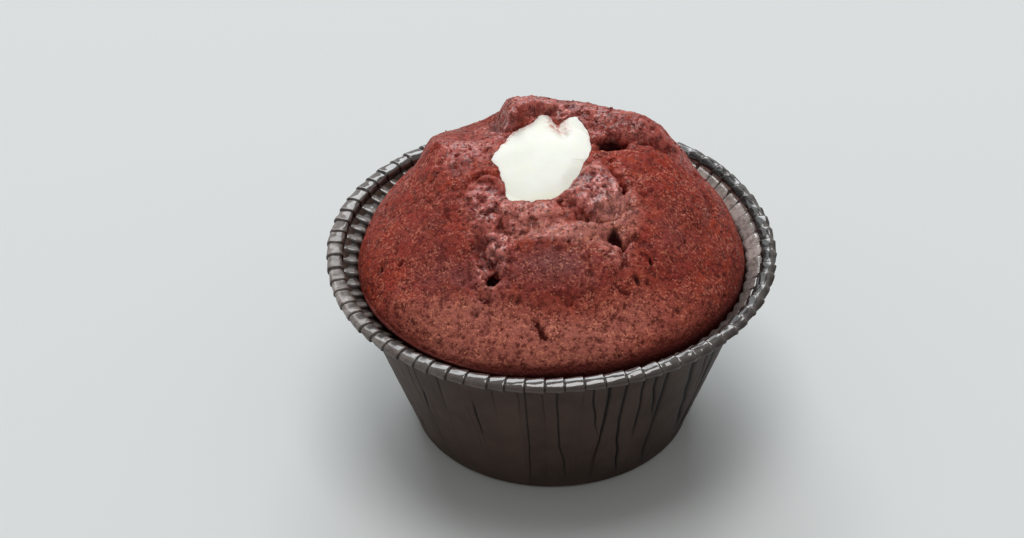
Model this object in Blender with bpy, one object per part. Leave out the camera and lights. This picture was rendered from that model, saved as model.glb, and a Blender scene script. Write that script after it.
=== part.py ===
"""A filled red muffin baked in its own pleated paper case.

Three solids stand on the plane z = 0, with the case's axis on the Z axis:
baking_case, one pleated shell with a rolled rim; muffin, the crumb, with a
socket in its crown; and filling, the plug of cream in that socket. The front
of the muffin faces -Y. Each solid is a stack of rings closed by a centre
point at either end, so the shape functions below all return points on rings.
"""

from typing import NamedTuple

import bpy
import numpy as np

MM = 0.001
TURN = 2.0 * np.pi
CLEARANCE = 0.3 * MM  # between solids that touch in the real muffin

# Paper case
RIM_RADIUS = 40.0 * MM
CASE_HEIGHT = 35.5 * MM
BASE_RADIUS = 25.0 * MM
NECK_RADIUS = 36.4 * MM  # outside of the wall, just under the roll
ROLL_WIDTH = 3.5 * MM
ROLL_HEIGHT = 2.8 * MM
BASE_CORNER = 1.8 * MM
PAPER = 0.6 * MM
PLEATS = 72
PLEAT_TURN = np.radians(1.0)  # azimuth of one pleat's ridge
RIM_PLEAT = 0.32 * MM  # how far the pleats stand out on the roll
WALL_PLEAT = 0.18 * MM  # and on the wall, where they are pressed flat

# Crumb
EQUATOR_RADIUS = 34.5 * MM
EQUATOR_HEIGHT = 32.8 * MM
TOUCH_HEIGHT = 24.0 * MM  # above this the crumb leaves the paper
CROWN_RISE = 19.4 * MM
CROWN_TILT = 0.17  # the crown is higher at the back
SHOULDER = 2.9  # powers of the dome's profile
FLANK = 0.80
FRONT_SWELL = 0.6 * MM

# Socket for the filling
SOCKET_CENTRE = np.array([-1.6, 2.0]) * MM
SOCKET_FLOOR = 38.0 * MM
SOCKET_TAPER = 0.55  # width at the floor over width at the lip
SOCKET_LIP = (  # azimuth in degrees, radius in millimetres
    (-167, 8.1),
    (-143, 8.8),
    (-121, 11.5),
    (-98, 10.6),
    (-77, 10.2),
    (-43, 8.0),
    (-6, 8.2),
    (25, 10.1),
    (45, 11.4),
    (65, 12.4),
    (76, 10.4),
    (88, 11.4),
    (118, 9.5),
    (151, 8.9),
    (180, 9.3),
)
CREAM_CROWN = 0.9 * MM

CASE_COLUMNS = 2 * PLEATS
CRUMB_COLUMNS = 96
CREAM_COLUMNS = 48
DOME_RINGS = 22


class Lump(NamedTuple):
    """A rounded rise, or a hollow if its height is below zero."""

    centre: tuple
    size: tuple
    turn: float
    height: float


class Crack(NamedTuple):
    """A split along a route, with its edges raised a little."""

    route: tuple
    width: float
    depth: float
    edge: float


# Places on the crown in millimetres, seen from above
LUMPS = (
    Lump((8.2, -6.2), (5.2, 4.6), -20.0, 1.5),  # torn lump beside the filling
    Lump((-16.5, 9.5), (4.8, 4.4), 10.0, 2.2),  # left lobe
    Lump((-10.0, 17.0), (5.0, 4.0), 0.0, -0.9),  # dip behind it
    Lump((-25.5, -1.0), (5.0, 13.0), 10.0, -1.0),  # flatter flank below it
    Lump((-1.5, -13.5), (7.0, 4.0), 0.0, 0.6),  # swell in front of the filling
    Lump((16.5, 1.0), (5.0, 6.0), 15.0, 0.9),  # right lobe
    Lump((18.5, 11.0), (4.5, 4.0), 0.0, 1.3),  # right end of the back lobe
    Lump((-19.0, -17.5), (9.0, 4.0), -45.0, -0.8),  # shallow fold, front left
    Lump((0.0, -27.0), (12.0, 2.6), 0.0, -0.7),  # shallow fold, front
    Lump((18.5, -21.0), (9.0, 3.0), 48.0, -0.8),  # shallow fold, front right
    Lump((-9.8, -19.6), (2.1, 2.6), 0.0, -1.5),  # pit at the end of the left gully
    Lump((10.6, 6.8), (1.9, 1.3), 10.0, -2.4),  # hole under the back lobe
    Lump((16.2, 8.6), (1.7, 1.0), 15.0, -1.6),  # smaller hole beside it
    Lump((9.9, -14.2), (1.8, 1.4), -35.0, -1.5),  # hole at the top of the right crack
    Lump((14.2, -19.4), (1.3, 1.1), 0.0, -0.7),  # side pit of the right crack
    Lump((-9.2, 9.8), (1.7, 2.0), 30.0, -1.8),  # notch behind the left lobe
)
CRACKS = (
    Crack(((-8.6, -7.2), (-9.4, -10.0), (-11.8, -12.6), (-10.8, -16.4), (-9.8, -19.8)), 1.7, 1.5, 0.35),
    Crack(((9.4, -14.0), (11.0, -15.6), (11.6, -18.0), (11.6, -21.6)), 1.1, 1.2, 0.25),
    Crack(((7.4, 4.4), (10.5, 6.6), (15.0, 8.0), (18.5, 8.4)), 1.0, 1.2, 0.0),
    Crack(((9.6, 0.8), (11.4, -1.6), (12.8, -4.8)), 0.9, 1.0, 0.2),
    Crack(((1.6, -8.0), (4.2, -10.2), (8.2, -11.8), (12.4, -10.2)), 1.0, 1.0, 0.2),
    Crack(((-8.8, 11.2), (-10.0, 15.0), (-11.0, 19.0)), 1.3, 1.3, 0.2),
)
BACK_LOBE = (  # outline of the lobe that stands above the rest, behind the filling
    (-8.4, 10.8),
    (-4.6, 11.6),
    (-1.4, 13.6),
    (3.4, 14.4),
    (7.2, 11.2),
    (9.0, 7.2),
    (13.4, 8.2),
    (17.6, 9.0),
    (23.0, 7.0),
    (25.0, 13.0),
    (16.0, 24.0),
    (0.0, 27.0),
    (-10.5, 20.0),
)
BACK_LOBE_HEIGHT = (4.3 * MM, 2.7 * MM)  # at the left and at the right
BACK_LOBE_FACE = (2.6 * MM, 5.0 * MM)  # width of its sloping face


def smooth(low, high, value):
    """0 below low, 1 above high and an S-curve between."""
    share = np.clip((value - low) / (high - low), 0.0, 1.0)
    return share * share * (3.0 - 2.0 * share)


def around(columns):
    return np.arange(columns) * TURN / columns


def rings_from(radius, height, azimuth):
    """Points (ring, column, xyz) from a radius and a height for each."""
    radius, height, azimuth = np.broadcast_arrays(radius, height, azimuth)
    return np.stack((radius * np.cos(azimuth), radius * np.sin(azimuth), height), -1)


# ---- paper case ------------------------------------------------------------


def wall_radius(height):
    """Outside of the plain wall, without pleats."""
    low = BASE_CORNER
    high = CASE_HEIGHT - ROLL_HEIGHT
    share = (height - low) / (high - low)
    return BASE_RADIUS + 0.4 * MM + share * (NECK_RADIUS - BASE_RADIUS - 0.4 * MM)


def wall_pleat(height):
    """Depth of the pleats, which fade towards the base."""
    return WALL_PLEAT * smooth(0.0, 30.0 * MM, height)


def inner_radius(height):
    """Innermost reach of the pleated wall."""
    return wall_radius(height) - PAPER - wall_pleat(height)


def case_profile():
    """(radius, height, pleat depth) from the inside floor, over the roll, to the underside."""
    inside = [
        (BASE_RADIUS - 3.2 * MM, PAPER),
        (BASE_RADIUS - 1.4 * MM, PAPER + 0.5 * MM),
    ]
    inside += [(wall_radius(z * MM) - PAPER, z * MM) for z in (2.6, 12.0, 22.0, 30.0)]
    roll_centre = (RIM_RADIUS - ROLL_WIDTH / 2.0, CASE_HEIGHT - ROLL_HEIGHT / 2.0)
    turns = np.radians((165, 125, 90, 50, 10, -30, -70))
    roll = [
        (
            roll_centre[0] + ROLL_WIDTH / 2.0 * np.cos(turn),
            roll_centre[1] + ROLL_HEIGHT / 2.0 * np.sin(turn),
        )
        for turn in turns
    ]
    outside = [(wall_radius(z * MM), z * MM) for z in (32.4, 22.0, 12.0)]
    outside += [
        (wall_radius(BASE_CORNER), BASE_CORNER),
        (BASE_RADIUS - 0.3 * MM, 0.4 * MM),
        (BASE_RADIUS - 1.6 * MM, 0.0),
    ]
    points = np.array(inside + roll + outside)
    depth = wall_pleat(points[:, 1])
    depth[len(inside) : len(inside) + len(roll)] = RIM_PLEAT
    depth[points[:, 1] < 1.0 * MM] = 0.0
    return points, depth


def case_rings():
    azimuth = around(CASE_COLUMNS) + PLEAT_TURN
    pleat = np.cos(PLEATS * (azimuth - PLEAT_TURN))
    points, depth = case_profile()
    radius = points[:, :1] + depth[:, None] * (pleat - 1.0) / 2.0
    return rings_from(radius, points[:, 1:], azimuth)


# ---- crumb -----------------------------------------------------------------


def route_distance(x, y, route):
    """Distance to a route of straight pieces, and the share of the way along it."""
    nearest = np.full(x.shape, np.inf)
    along = np.zeros(x.shape)
    points = np.array(route) * MM
    for index, (start, end) in enumerate(zip(points[:-1], points[1:])):
        step = end - start
        share = ((x - start[0]) * step[0] + (y - start[1]) * step[1]) / (step @ step)
        share = np.clip(share, 0.0, 1.0)
        gap = np.hypot(x - start[0] - share * step[0], y - start[1] - share * step[1])
        along = np.where(gap < nearest, (index + share) / (len(points) - 1), along)
        nearest = np.minimum(gap, nearest)
    return nearest, along


def inside_outline(x, y, outline):
    """True where a point lies within a closed outline."""
    points = np.array(outline) * MM
    crossings = np.zeros(x.shape, int)
    for start, end in zip(points, np.roll(points, -1, axis=0)):
        spans = (start[1] > y) != (end[1] > y)
        reach = start[0] + (y - start[1]) * (end[0] - start[0]) / (end[1] - start[1] + 1e-12)
        crossings += spans & (x < reach)
    return crossings % 2 == 1


def lump_height(x, y, lump):
    turn = np.radians(lump.turn)
    across = x - lump.centre[0] * MM
    back = y - lump.centre[1] * MM
    u = (across * np.cos(turn) + back * np.sin(turn)) / (lump.size[0] * MM)
    v = (back * np.cos(turn) - across * np.sin(turn)) / (lump.size[1] * MM)
    return lump.height * MM * np.exp(-u * u - v * v)


def crack_height(x, y, crack):
    distance, along = route_distance(x, y, crack.route)
    ends = smooth(0.0, 0.15, along) * smooth(0.0, 0.15, 1.0 - along)
    ends = 0.35 + 0.65 * ends
    across = distance / (crack.width * MM)
    valley = -crack.depth * np.exp(-(across**2))
    edge = crack.edge * np.exp(-((across - 2.0) ** 2))
    return ends * (valley + edge) * MM


def back_lobe_height(x, y):
    """The rounded step up to the back lobe, which sinks into the dome further back."""
    closed = BACK_LOBE + BACK_LOBE[:1]
    distance, _ = route_distance(x, y, closed)
    inside = inside_outline(x, y, BACK_LOBE)
    to_right = smooth(-4.0 * MM, 14.0 * MM, x)
    face = BACK_LOBE_FACE[0] + (BACK_LOBE_FACE[1] - BACK_LOBE_FACE[0]) * to_right
    height = BACK_LOBE_HEIGHT[0] + (BACK_LOBE_HEIGHT[1] - BACK_LOBE_HEIGHT[0]) * to_right
    share = np.where(inside, np.clip(distance / face, 0.0, 1.0), 0.0)
    sink = 1.0 - 0.9 * smooth(11.0 * MM, 26.0 * MM, y)
    return height * share * (2.0 - share) * sink


def dome_height(x, y):
    """Height of the plain dome over a place in plan."""
    reach = np.clip(np.hypot(x, y) / EQUATOR_RADIUS, 0.0, 1.0)
    profile = np.clip(1.0 - reach**SHOULDER, 0.0, 1.0) ** FLANK
    return EQUATOR_HEIGHT + (CROWN_RISE + CROWN_TILT * y) * profile


def crust_height(x, y):
    """Height of the crust: the dome with its lobes, lumps and cracks."""
    relief = back_lobe_height(x, y)
    for lump in LUMPS:
        relief = relief + lump_height(x, y, lump)
    for crack in CRACKS:
        relief = relief + crack_height(x, y, crack)
    flat = smooth(0.0, 5.0 * MM, EQUATOR_RADIUS - np.hypot(x, y))
    return dome_height(x, y) + relief * flat


def lip_radius(azimuth):
    """Radius of the socket's lip round its own centre."""
    stops = np.radians([stop[0] for stop in SOCKET_LIP])
    radii = np.array([stop[1] for stop in SOCKET_LIP]) * MM
    turned = (azimuth + np.pi) % TURN - np.pi
    return np.interp(turned, stops, radii, period=TURN)


def lip_plan(azimuth, inset=0.0, scale=1.0):
    reach = scale * lip_radius(azimuth) - inset
    place = np.stack((np.cos(azimuth), np.sin(azimuth)), -1) * reach[..., None]
    return SOCKET_CENTRE + place


def equator_plan(azimuth):
    front = np.clip(-np.sin(azimuth), 0.0, 1.0) ** 2
    radius = EQUATOR_RADIUS + FRONT_SWELL * front
    return np.stack((np.cos(azimuth), np.sin(azimuth)), -1) * radius[..., None]


def cream_height(x, y):
    """Top of the filling: level with the dome at its edge, and slightly domed."""
    offset = np.hypot(x - SOCKET_CENTRE[0], y - SOCKET_CENTRE[1])
    rise = CREAM_CROWN * np.clip(1.0 - (offset / (10.0 * MM)) ** 2, 0.0, 1.0)
    return EQUATOR_HEIGHT + CROWN_RISE - 0.7 * MM + CROWN_TILT * y + rise


def under_rings(azimuth):
    """The crumb inside the case, from its flat bottom to just under the equator."""
    floor = PAPER + CLEARANCE
    heights = np.array((0.0, 1.2, 6.0, 12.0, 18.0)) * MM + floor
    heights = np.append(heights, (TOUCH_HEIGHT, 0.55 * TOUCH_HEIGHT + 0.45 * EQUATOR_HEIGHT))
    touch = inner_radius(heights) - CLEARANCE
    touch[0] = inner_radius(floor) - 3.4 * MM
    touch[1] -= 1.2 * MM
    free = smooth(TOUCH_HEIGHT, EQUATOR_HEIGHT, heights)
    touch = touch * (1.0 - free) + (EQUATOR_RADIUS - 0.2 * MM) * free
    return rings_from(touch[:, None], heights[:, None], azimuth)


def dome_rings(azimuth):
    """The crust from the equator to the socket's lip."""
    share = np.linspace(0.0, 1.0, DOME_RINGS) ** 1.25
    share = share[:, None, None]
    place = (1.0 - share) * equator_plan(azimuth) + share * lip_plan(azimuth)
    x, y = place[..., 0], place[..., 1]
    height = crust_height(x, y)
    near_lip = smooth(0.90, 1.0, share[..., 0])
    height = height * (1.0 - near_lip) + cream_height(x, y) * near_lip
    return np.concatenate((place, height[..., None]), -1)


def socket_rings(azimuth, inset, floor, shares):
    """Rings down the socket, or down the plug if inset."""
    lip = lip_plan(azimuth, inset)
    top = cream_height(lip[:, 0], lip[:, 1])
    rings = []
    for share in shares:
        scale = 1.0 - (1.0 - SOCKET_TAPER) * share**2
        place = lip_plan(azimuth, inset, scale)
        height = top + (floor - top) * share
        rings.append(np.concatenate((place, height[:, None]), -1))
    return np.array(rings)


def crumb_rings():
    azimuth = around(CRUMB_COLUMNS)
    socket = socket_rings(azimuth, 0.0, SOCKET_FLOOR, (0.12, 0.4, 0.7, 0.95))
    return np.concatenate((under_rings(azimuth), dome_rings(azimuth), socket))


def cream_rings():
    azimuth = around(CREAM_COLUMNS)
    side = socket_rings(azimuth, CLEARANCE, SOCKET_FLOOR + CLEARANCE, (0.93, 0.7, 0.4, 0.12, 0.02))
    rings = [side]
    for scale in (0.88, 0.6, 0.3):
        place = lip_plan(azimuth, CLEARANCE, scale)
        height = cream_height(place[:, 0], place[:, 1]) + 0.1 * MM
        rings.append(np.concatenate((place, height[:, None]), -1)[None])
    return np.concatenate(rings)


# ---- Blender ---------------------------------------------------------------


def clear_scene():
    for item in list(bpy.data.objects):
        bpy.data.objects.remove(item, do_unlink=True)


def make_material(name, colour, roughness, coat=0.0, subsurface=0.0):
    material = bpy.data.materials.new(name)
    material.use_nodes = True
    shader = material.node_tree.nodes["Principled BSDF"]
    shader.inputs["Base Color"].default_value = (*colour, 1.0)
    shader.inputs["Roughness"].default_value = roughness
    shader.inputs["Metallic"].default_value = 0.0
    shader.inputs["Coat Weight"].default_value = coat
    shader.inputs["Subsurface Weight"].default_value = subsurface
    material.diffuse_color = (*colour, 1.0)
    return material


def closed_faces(ring_count, columns):
    """Quads between neighbouring rings, and a fan of triangles at each end."""
    faces = []
    for ring in range(ring_count - 1):
        for column in range(columns):
            beside = (column + 1) % columns
            low = ring * columns
            high = low + columns
            faces.append((low + column, low + beside, high + beside, high + column))
    first_pole = ring_count * columns
    last = first_pole - columns
    for column in range(columns):
        beside = (column + 1) % columns
        faces.append((first_pole, beside, column))
        faces.append((first_pole + 1, last + column, last + beside))
    return faces


def add_solid(name, rings, poles, material, outward=True):
    """One closed body from a stack of rings that runs from the first pole to the last."""
    points = np.concatenate((rings.reshape(-1, 3), np.array(poles)))
    faces = closed_faces(rings.shape[0], rings.shape[1])
    if not outward:
        faces = [face[::-1] for face in faces]
    mesh = bpy.data.meshes.new(name)
    mesh.from_pydata(points.tolist(), [], faces)
    mesh.materials.append(material)
    mesh.shade_smooth()
    body = bpy.data.objects.new(name, mesh)
    bpy.context.scene.collection.objects.link(body)
    return body


def add_case():
    paper = make_material("brown_paper", (0.035, 0.024, 0.020), 0.45)
    poles = ((0.0, 0.0, PAPER), (0.0, 0.0, 0.0))
    return add_solid("baking_case", case_rings(), poles, paper, outward=False)


def add_crumb():
    crumb = make_material("red_crumb", (0.21, 0.040, 0.028), 0.62)
    bottom = (0.0, 0.0, PAPER + CLEARANCE)
    floor = (*SOCKET_CENTRE, SOCKET_FLOOR)
    return add_solid("muffin", crumb_rings(), (bottom, floor), crumb)


def add_filling():
    cream = make_material("white_cream", (0.90, 0.91, 0.85), 0.35, subsurface=0.2)
    bottom = (*SOCKET_CENTRE, SOCKET_FLOOR + CLEARANCE)
    top = cream_height(*SOCKET_CENTRE) + 0.1 * MM
    return add_solid("filling", cream_rings(), (bottom, (*SOCKET_CENTRE, top)), cream)


def main():
    clear_scene()
    add_case()
    add_crumb()
    add_filling()


if __name__ == "__main__":
    main()
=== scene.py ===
"""A filled red muffin in its pleated paper case, dressed on its solids.

Every piece is a stack of closed rings worked out with numpy, in metres, with
the case's axis on Z and the muffin's front facing -Y.
"""

import bpy
import numpy as np
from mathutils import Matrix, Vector


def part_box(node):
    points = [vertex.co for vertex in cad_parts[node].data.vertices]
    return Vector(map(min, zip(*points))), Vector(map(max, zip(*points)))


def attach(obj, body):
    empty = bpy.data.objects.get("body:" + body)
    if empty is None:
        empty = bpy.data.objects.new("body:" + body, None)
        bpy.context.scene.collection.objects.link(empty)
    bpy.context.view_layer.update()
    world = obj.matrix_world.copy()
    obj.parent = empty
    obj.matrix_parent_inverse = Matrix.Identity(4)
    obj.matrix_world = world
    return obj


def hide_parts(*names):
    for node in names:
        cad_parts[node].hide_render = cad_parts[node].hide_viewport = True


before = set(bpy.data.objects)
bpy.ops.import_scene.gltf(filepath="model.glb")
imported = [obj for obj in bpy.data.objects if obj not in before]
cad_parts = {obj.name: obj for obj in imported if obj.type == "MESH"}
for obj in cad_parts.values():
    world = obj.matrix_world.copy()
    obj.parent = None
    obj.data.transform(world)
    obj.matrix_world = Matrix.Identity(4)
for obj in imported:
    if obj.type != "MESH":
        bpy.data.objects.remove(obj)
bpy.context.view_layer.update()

bl_info = {
    "name": "Filled Muffin",
    "version": (1, 0, 0),
    "blender": (4, 5, 0),
    "location": "View3D > Sidebar > Muffin",
    "description": "Builds a filled red muffin in a pleated paper case",
    "category": "Add Mesh",
}

MM = 0.001
TURN = 2.0 * np.pi
SEED = 5


# ---- numbers worked out from the frame -------------------------------------

CASE_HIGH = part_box("baking_case")[1]
CRUMB_LOW, CRUMB_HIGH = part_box("muffin")
RIM_RADIUS = float(CASE_HIGH[1])
CASE_HEIGHT = float(CASE_HIGH[2])
CRUMB_RADIUS = float(CRUMB_HIGH[1])
CRUMB_FLOOR = float(CRUMB_LOW[2])

# ---- shape tables, in millimetres seen from above --------------------------

# Rounded rises and hollows: centre, size, turn in degrees, height
LUMPS = (
    ((-18.4, 8.0), (4.4, 4.6), 10.0, 0.8),  # left lobe
    ((-20.8, 9.6), (2.6, 4.0), 15.0, 1.7),  # its shoulder
    ((-12.6, 13.0), (4.6, 6.0), 0.0, -2.2),  # dip behind it
    ((-12.8, 20.0), (4.2, 4.5), 0.0, -1.4),
    ((-20.8, 17.5), (2.8, 4.5), 0.0, 1.1),  # knob behind the left lobe
    ((-22.2, 17.0), (1.6, 4.0), 0.0, 0.9),
    ((-5.0, 18.6), (4.6, 3.0), 0.0, 0.6),  # crown of the back lobe
    ((20.3, 17.0), (2.0, 4.0), 0.0, -0.5),
    ((24.6, 16.0), (2.2, 4.0), 0.0, 0.5),
    ((-27.0, 14.0), (4.5, 6.5), -32.0, -2.2),  # flatter flanks, left and right
    ((27.0, 15.0), (3.8, 6.0), 32.0, -1.4),
    ((-26.0, -21.0), (9.0, 3.6), -38.0, 1.2),  # fuller flank, front left
    ((-25.5, -1.0), (5.0, 13.0), 10.0, -1.0),  # flatter flank below it
    ((16.5, 1.0), (5.0, 6.0), 15.0, 0.9),  # right lobe
    ((18.5, 11.0), (4.5, 4.0), 0.0, 1.3),  # right end of the back lobe
    ((-19.0, -17.5), (9.0, 4.0), -45.0, -0.8),  # shallow fold, front left
    ((0.0, -27.0), (12.0, 2.6), 0.0, -1.0),  # shallow fold, front
    ((18.5, -21.0), (9.0, 3.0), 48.0, -0.8),  # shallow fold, front right
    ((-6.2, -10.4), (2.5, 2.2), 0.0, 0.9),  # two small lobes in front of the filling
    ((-0.9, -10.9), (2.9, 2.1), 0.0, 0.8),
    ((-11.0, -12.4), (1.7, 1.6), 0.0, 1.1),  # ball of crumb in the left gully
    ((-8.9, -17.6), (1.5, 1.6), 0.0, 0.7),
    ((-11.4, 5.2), (1.3, 0.8), -20.0, -0.8),  # dents of the left lobe
    ((-14.2, 2.2), (1.6, 1.1), 30.0, -0.5),
    ((1.2, -22.8), (1.3, 0.7), 0.0, -0.5),  # shallow dips of the front flank
    ((-17.5, -9.5), (2.6, 1.8), 40.0, -0.35),
    ((20.5, -6.0), (2.2, 2.8), 20.0, -0.4),
)
# Holes with steep sides: centre, size, turn in degrees, depth
HOLES = (
    ((10.4, 6.4), (3.0, 1.7), 8.0, 3.2),  # under the back lobe
    ((16.0, 7.7), (1.5, 0.6), 6.0, 1.8),
    ((-10.0, 11.6), (1.2, 0.6), 35.0, 1.3),  # notch left of the back lobe
    ((-12.0, -6.2), (1.6, 1.5), 0.0, 0.35),  # middle of the left crater
    ((-9.7, -21.1), (1.5, 1.35), -20.0, 1.9),  # end of the left gully
    ((-7.0, -19.1), (0.5, 0.6), 0.0, 0.6),
    ((10.6, -14.5), (1.5, 1.0), -20.0, 2.6),  # top of the right crack
    ((1.3, -8.3), (0.65, 0.8), 0.0, 1.5),  # notch between filling and torn lump
    ((16.5, -16.7), (0.75, 0.6), -30.0, 1.2),
    ((14.6, -20.3), (0.45, 0.7), -25.0, 1.0),
    ((23.1, -10.7), (0.45, 0.5), 0.0, 0.9),
    ((3.1, -16.2), (0.45, 0.5), 0.0, 0.8),
    ((6.6, -15.4), (0.5, 0.4), 0.0, 0.8),
    ((-29.6, -10.7), (0.5, 0.5), 0.0, 0.9),
    ((-26.3, -12.5), (0.45, 0.5), 0.0, 0.8),
)
# Valleys, and ridges where the depth is negative: stops of x, y, half-width, depth
VALLEYS = (
    (
        (-9.2, -8.2, 0.6, 0.4),
        (-9.6, -9.7, 0.7, 1.3),
        (-9.2, -10.8, 0.7, 1.3),
        (-8.9, -12.4, 0.9, 0.9),
    ),
    (
        (-9.6, -12.9, 0.8, 0.6),
        (-7.1, -14.2, 1.1, 1.0),
        (-4.0, -14.0, 1.0, 0.7),
        (-2.0, -14.6, 0.8, 0.2),
    ),
    ((-3.6, -8.4, 0.5, 0.4), (-3.6, -11.0, 0.6, 0.6), (-3.7, -13.6, 0.7, 0.5)),
    (
        (-13.0, -13.4, 1.0, 0.7),
        (-12.1, -15.2, 1.5, 1.3),
        (-11.0, -17.6, 1.7, 1.5),
        (-9.9, -20.0, 1.6, 1.5),
    ),
    (
        (-14.4, -13.6, 0.9, -0.2),
        (-14.0, -16.0, 0.8, -0.5),
        (-12.6, -19.6, 0.7, -0.5),
        (-11.0, -23.2, 0.7, -0.3),
    ),
    ((-13.4, -4.4, 0.8, -0.4), (-13.7, -7.7, 0.9, -0.6), (-13.1, -11.3, 0.9, -0.4)),
    ((-12.4, -23.5, 0.35, 0.7), (-10.8, -24.4, 0.45, 1.0)),
    ((2.9, -25.3, 0.32, 0.9), (4.6, -24.7, 0.26, 0.9)),
    (
        (-4.6, -17.0, 1.4, -0.3),
        (0.6, -15.2, 1.3, -0.6),
        (5.4, -13.4, 1.2, -0.6),
        (8.0, -13.2, 1.0, -0.2),
    ),
    ((8.6, -13.9, 0.6, 0.7), (11.0, -14.8, 0.7, 1.2), (12.8, -15.4, 0.5, 0.9)),
    ((12.2, -15.0, 0.6, 1.2), (14.8, -13.4, 0.45, 0.7)),
    (
        (11.8, -15.4, 0.5, 1.0),
        (11.9, -17.0, 0.3, 0.6),
        (12.0, -18.3, 0.45, 1.2),
        (11.7, -19.7, 0.35, 0.5),
    ),
    ((11.5, -20.2, 0.35, 0.4), (11.0, -22.2, 0.4, 0.9), (12.5, -22.4, 0.5, 1.3)),
    ((1.4, -8.6, 0.5, 0.9), (3.2, -10.3, 0.4, 0.7), (4.9, -11.4, 0.6, 1.3), (6.3, -11.8, 0.5, 0.9)),
    (
        (6.3, -11.8, 0.5, 0.9),
        (8.7, -12.0, 0.5, 1.0),
        (11.0, -11.0, 0.5, 0.6),
        (12.6, -9.2, 0.4, 0.4),
    ),
    ((9.6, 1.2, 0.5, 0.4), (10.8, -3.0, 0.6, 1.0), (12.5, -5.3, 0.7, 1.6), (12.7, -6.8, 0.5, 0.8)),
    ((10.4, 2.2, 0.9, -0.3), (12.0, -0.3, 1.0, -0.6), (13.6, -3.2, 1.0, -0.4)),
    ((5.6, 3.2, 0.6, 0.8), (7.8, 5.2, 0.7, 1.3), (9.6, 6.2, 0.9, 1.6)),
    (
        (12.6, 7.2, 0.7, 1.0),
        (14.6, 7.4, 0.5, 0.9),
        (17.4, 7.8, 0.6, 1.1),
        (20.0, 8.1, 0.7, 0.8),
        (23.4, 9.6, 0.8, 0.5),
    ),
    (
        (-8.8, 10.0, 0.8, 0.8),
        (-9.3, 13.0, 1.1, 1.4),
        (-10.4, 17.0, 1.3, 1.2),
        (-11.0, 20.0, 1.4, 0.5),
    ),
    ((-8.4, 9.9, 0.5, 1.0), (-10.2, 10.9, 0.6, 1.6), (-12.2, 11.6, 0.5, 0.8)),
    ((-2.9, -28.0, 0.22, 1.3), (-2.1, -28.8, 0.30, 2.2), (-0.6, -30.2, 0.24, 1.7)),
    (
        (27.2, 3.4, 0.7, 0.3),
        (28.0, -0.5, 0.9, 0.7),
        (27.3, -4.2, 1.2, 0.6),
        (25.6, -7.3, 1.7, 0.45),
    ),
    (
        (25.6, -7.3, 1.7, 0.45),
        (23.8, -11.5, 2.0, 0.45),
        (22.4, -16.0, 2.1, 0.3),
        (18.0, -20.7, 2.3, 0.2),
    ),
)
BACK_LOBE = (  # outline of the lobe that stands above the rest, behind the filling
    (-8.2, 9.2),
    (-6.0, 9.8),
    (-4.2, 12.0),
    (-2.0, 14.2),
    (1.2, 13.2),
    (4.8, 13.8),
    (7.2, 10.8),
    (9.0, 7.2),
    (13.4, 8.2),
    (17.6, 9.0),
    (23.0, 7.0),
    (25.0, 13.0),
    (16.0, 24.0),
    (0.0, 27.0),
    (-9.0, 20.0),
)
BACK_LOBE_CREST = (  # how high it stands, from left to right: x, height
    (-8.4, 3.3),
    (-7.3, 4.3),
    (-5.5, 3.6),
    (-3.3, 3.4),
    (-1.0, 2.6),
    (1.2, 1.5),
    (4.5, 1.6),
    (8.0, 1.5),
    (12.0, 2.4),
    (16.5, 3.0),
    (18.5, 2.7),
    (20.5, 1.1),
    (25.0, 1.8),
)
BACK_LOBE_FACE = (1.7, 4.6)
TORN_LUMP = (  # outline of the moist lump on the filling's right
    (1.6, -7.4),
    (3.4, -9.7),
    (5.2, -10.9),
    (8.7, -11.3),
    (12.0, -9.4),
    (12.9, -7.0),
    (12.0, -4.8),
    (10.5, -2.6),
    (9.4, 1.0),
    (6.6, 1.6),
    (5.0, -4.0),
)
TORN_LUMP_HEIGHT = 1.7
TORN_LUMP_FACE = 2.6
CRATER_CENTRE = (-11.3, -5.6)  # left of the filling
# Where the crust is torn and moist crumb shows: centre, size, turn, strength
TORN = (
    ((7.6, -6.6), (5.4, 4.8), -20.0, 1.0),  # lump beside the filling
    ((-9.9, -17.6), (2.3, 4.6), -12.0, 1.0),  # left gully
    ((-11.2, -8.4), (2.9, 4.4), 10.0, 0.9),  # left crater
    ((-8.8, 10.8), (2.2, 3.0), 20.0, 0.8),  # notch
    ((2.0, 14.4), (11.5, 3.2), -4.0, 0.65),  # face of the back lobe
    ((13.0, 8.6), (8.0, 2.6), 10.0, 0.5),
    ((17.0, 11.6), (6.0, 3.0), -8.0, 0.25),
    ((21.6, 9.4), (2.6, 2.6), 0.0, 0.4),
    ((-16.2, 6.4), (2.6, 2.2), 20.0, 0.7),  # moist spots of the left lobe
    ((5.8, -13.4), (2.8, 1.0), 5.0, 0.5),
    ((10.9, -16.4), (2.2, 2.6), 15.0, 0.6),  # right crack
    ((-5.0, -13.4), (5.0, 1.6), 0.0, 0.6),
    ((-14.6, 6.2), (4.8, 4.2), 20.0, 0.6),
    ((0.5, -14.7), (6.5, 1.7), -3.0, 0.5),  # ridge in front of the filling
    ((-3.6, -11.0), (4.0, 1.8), 0.0, 0.6),
)
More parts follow.
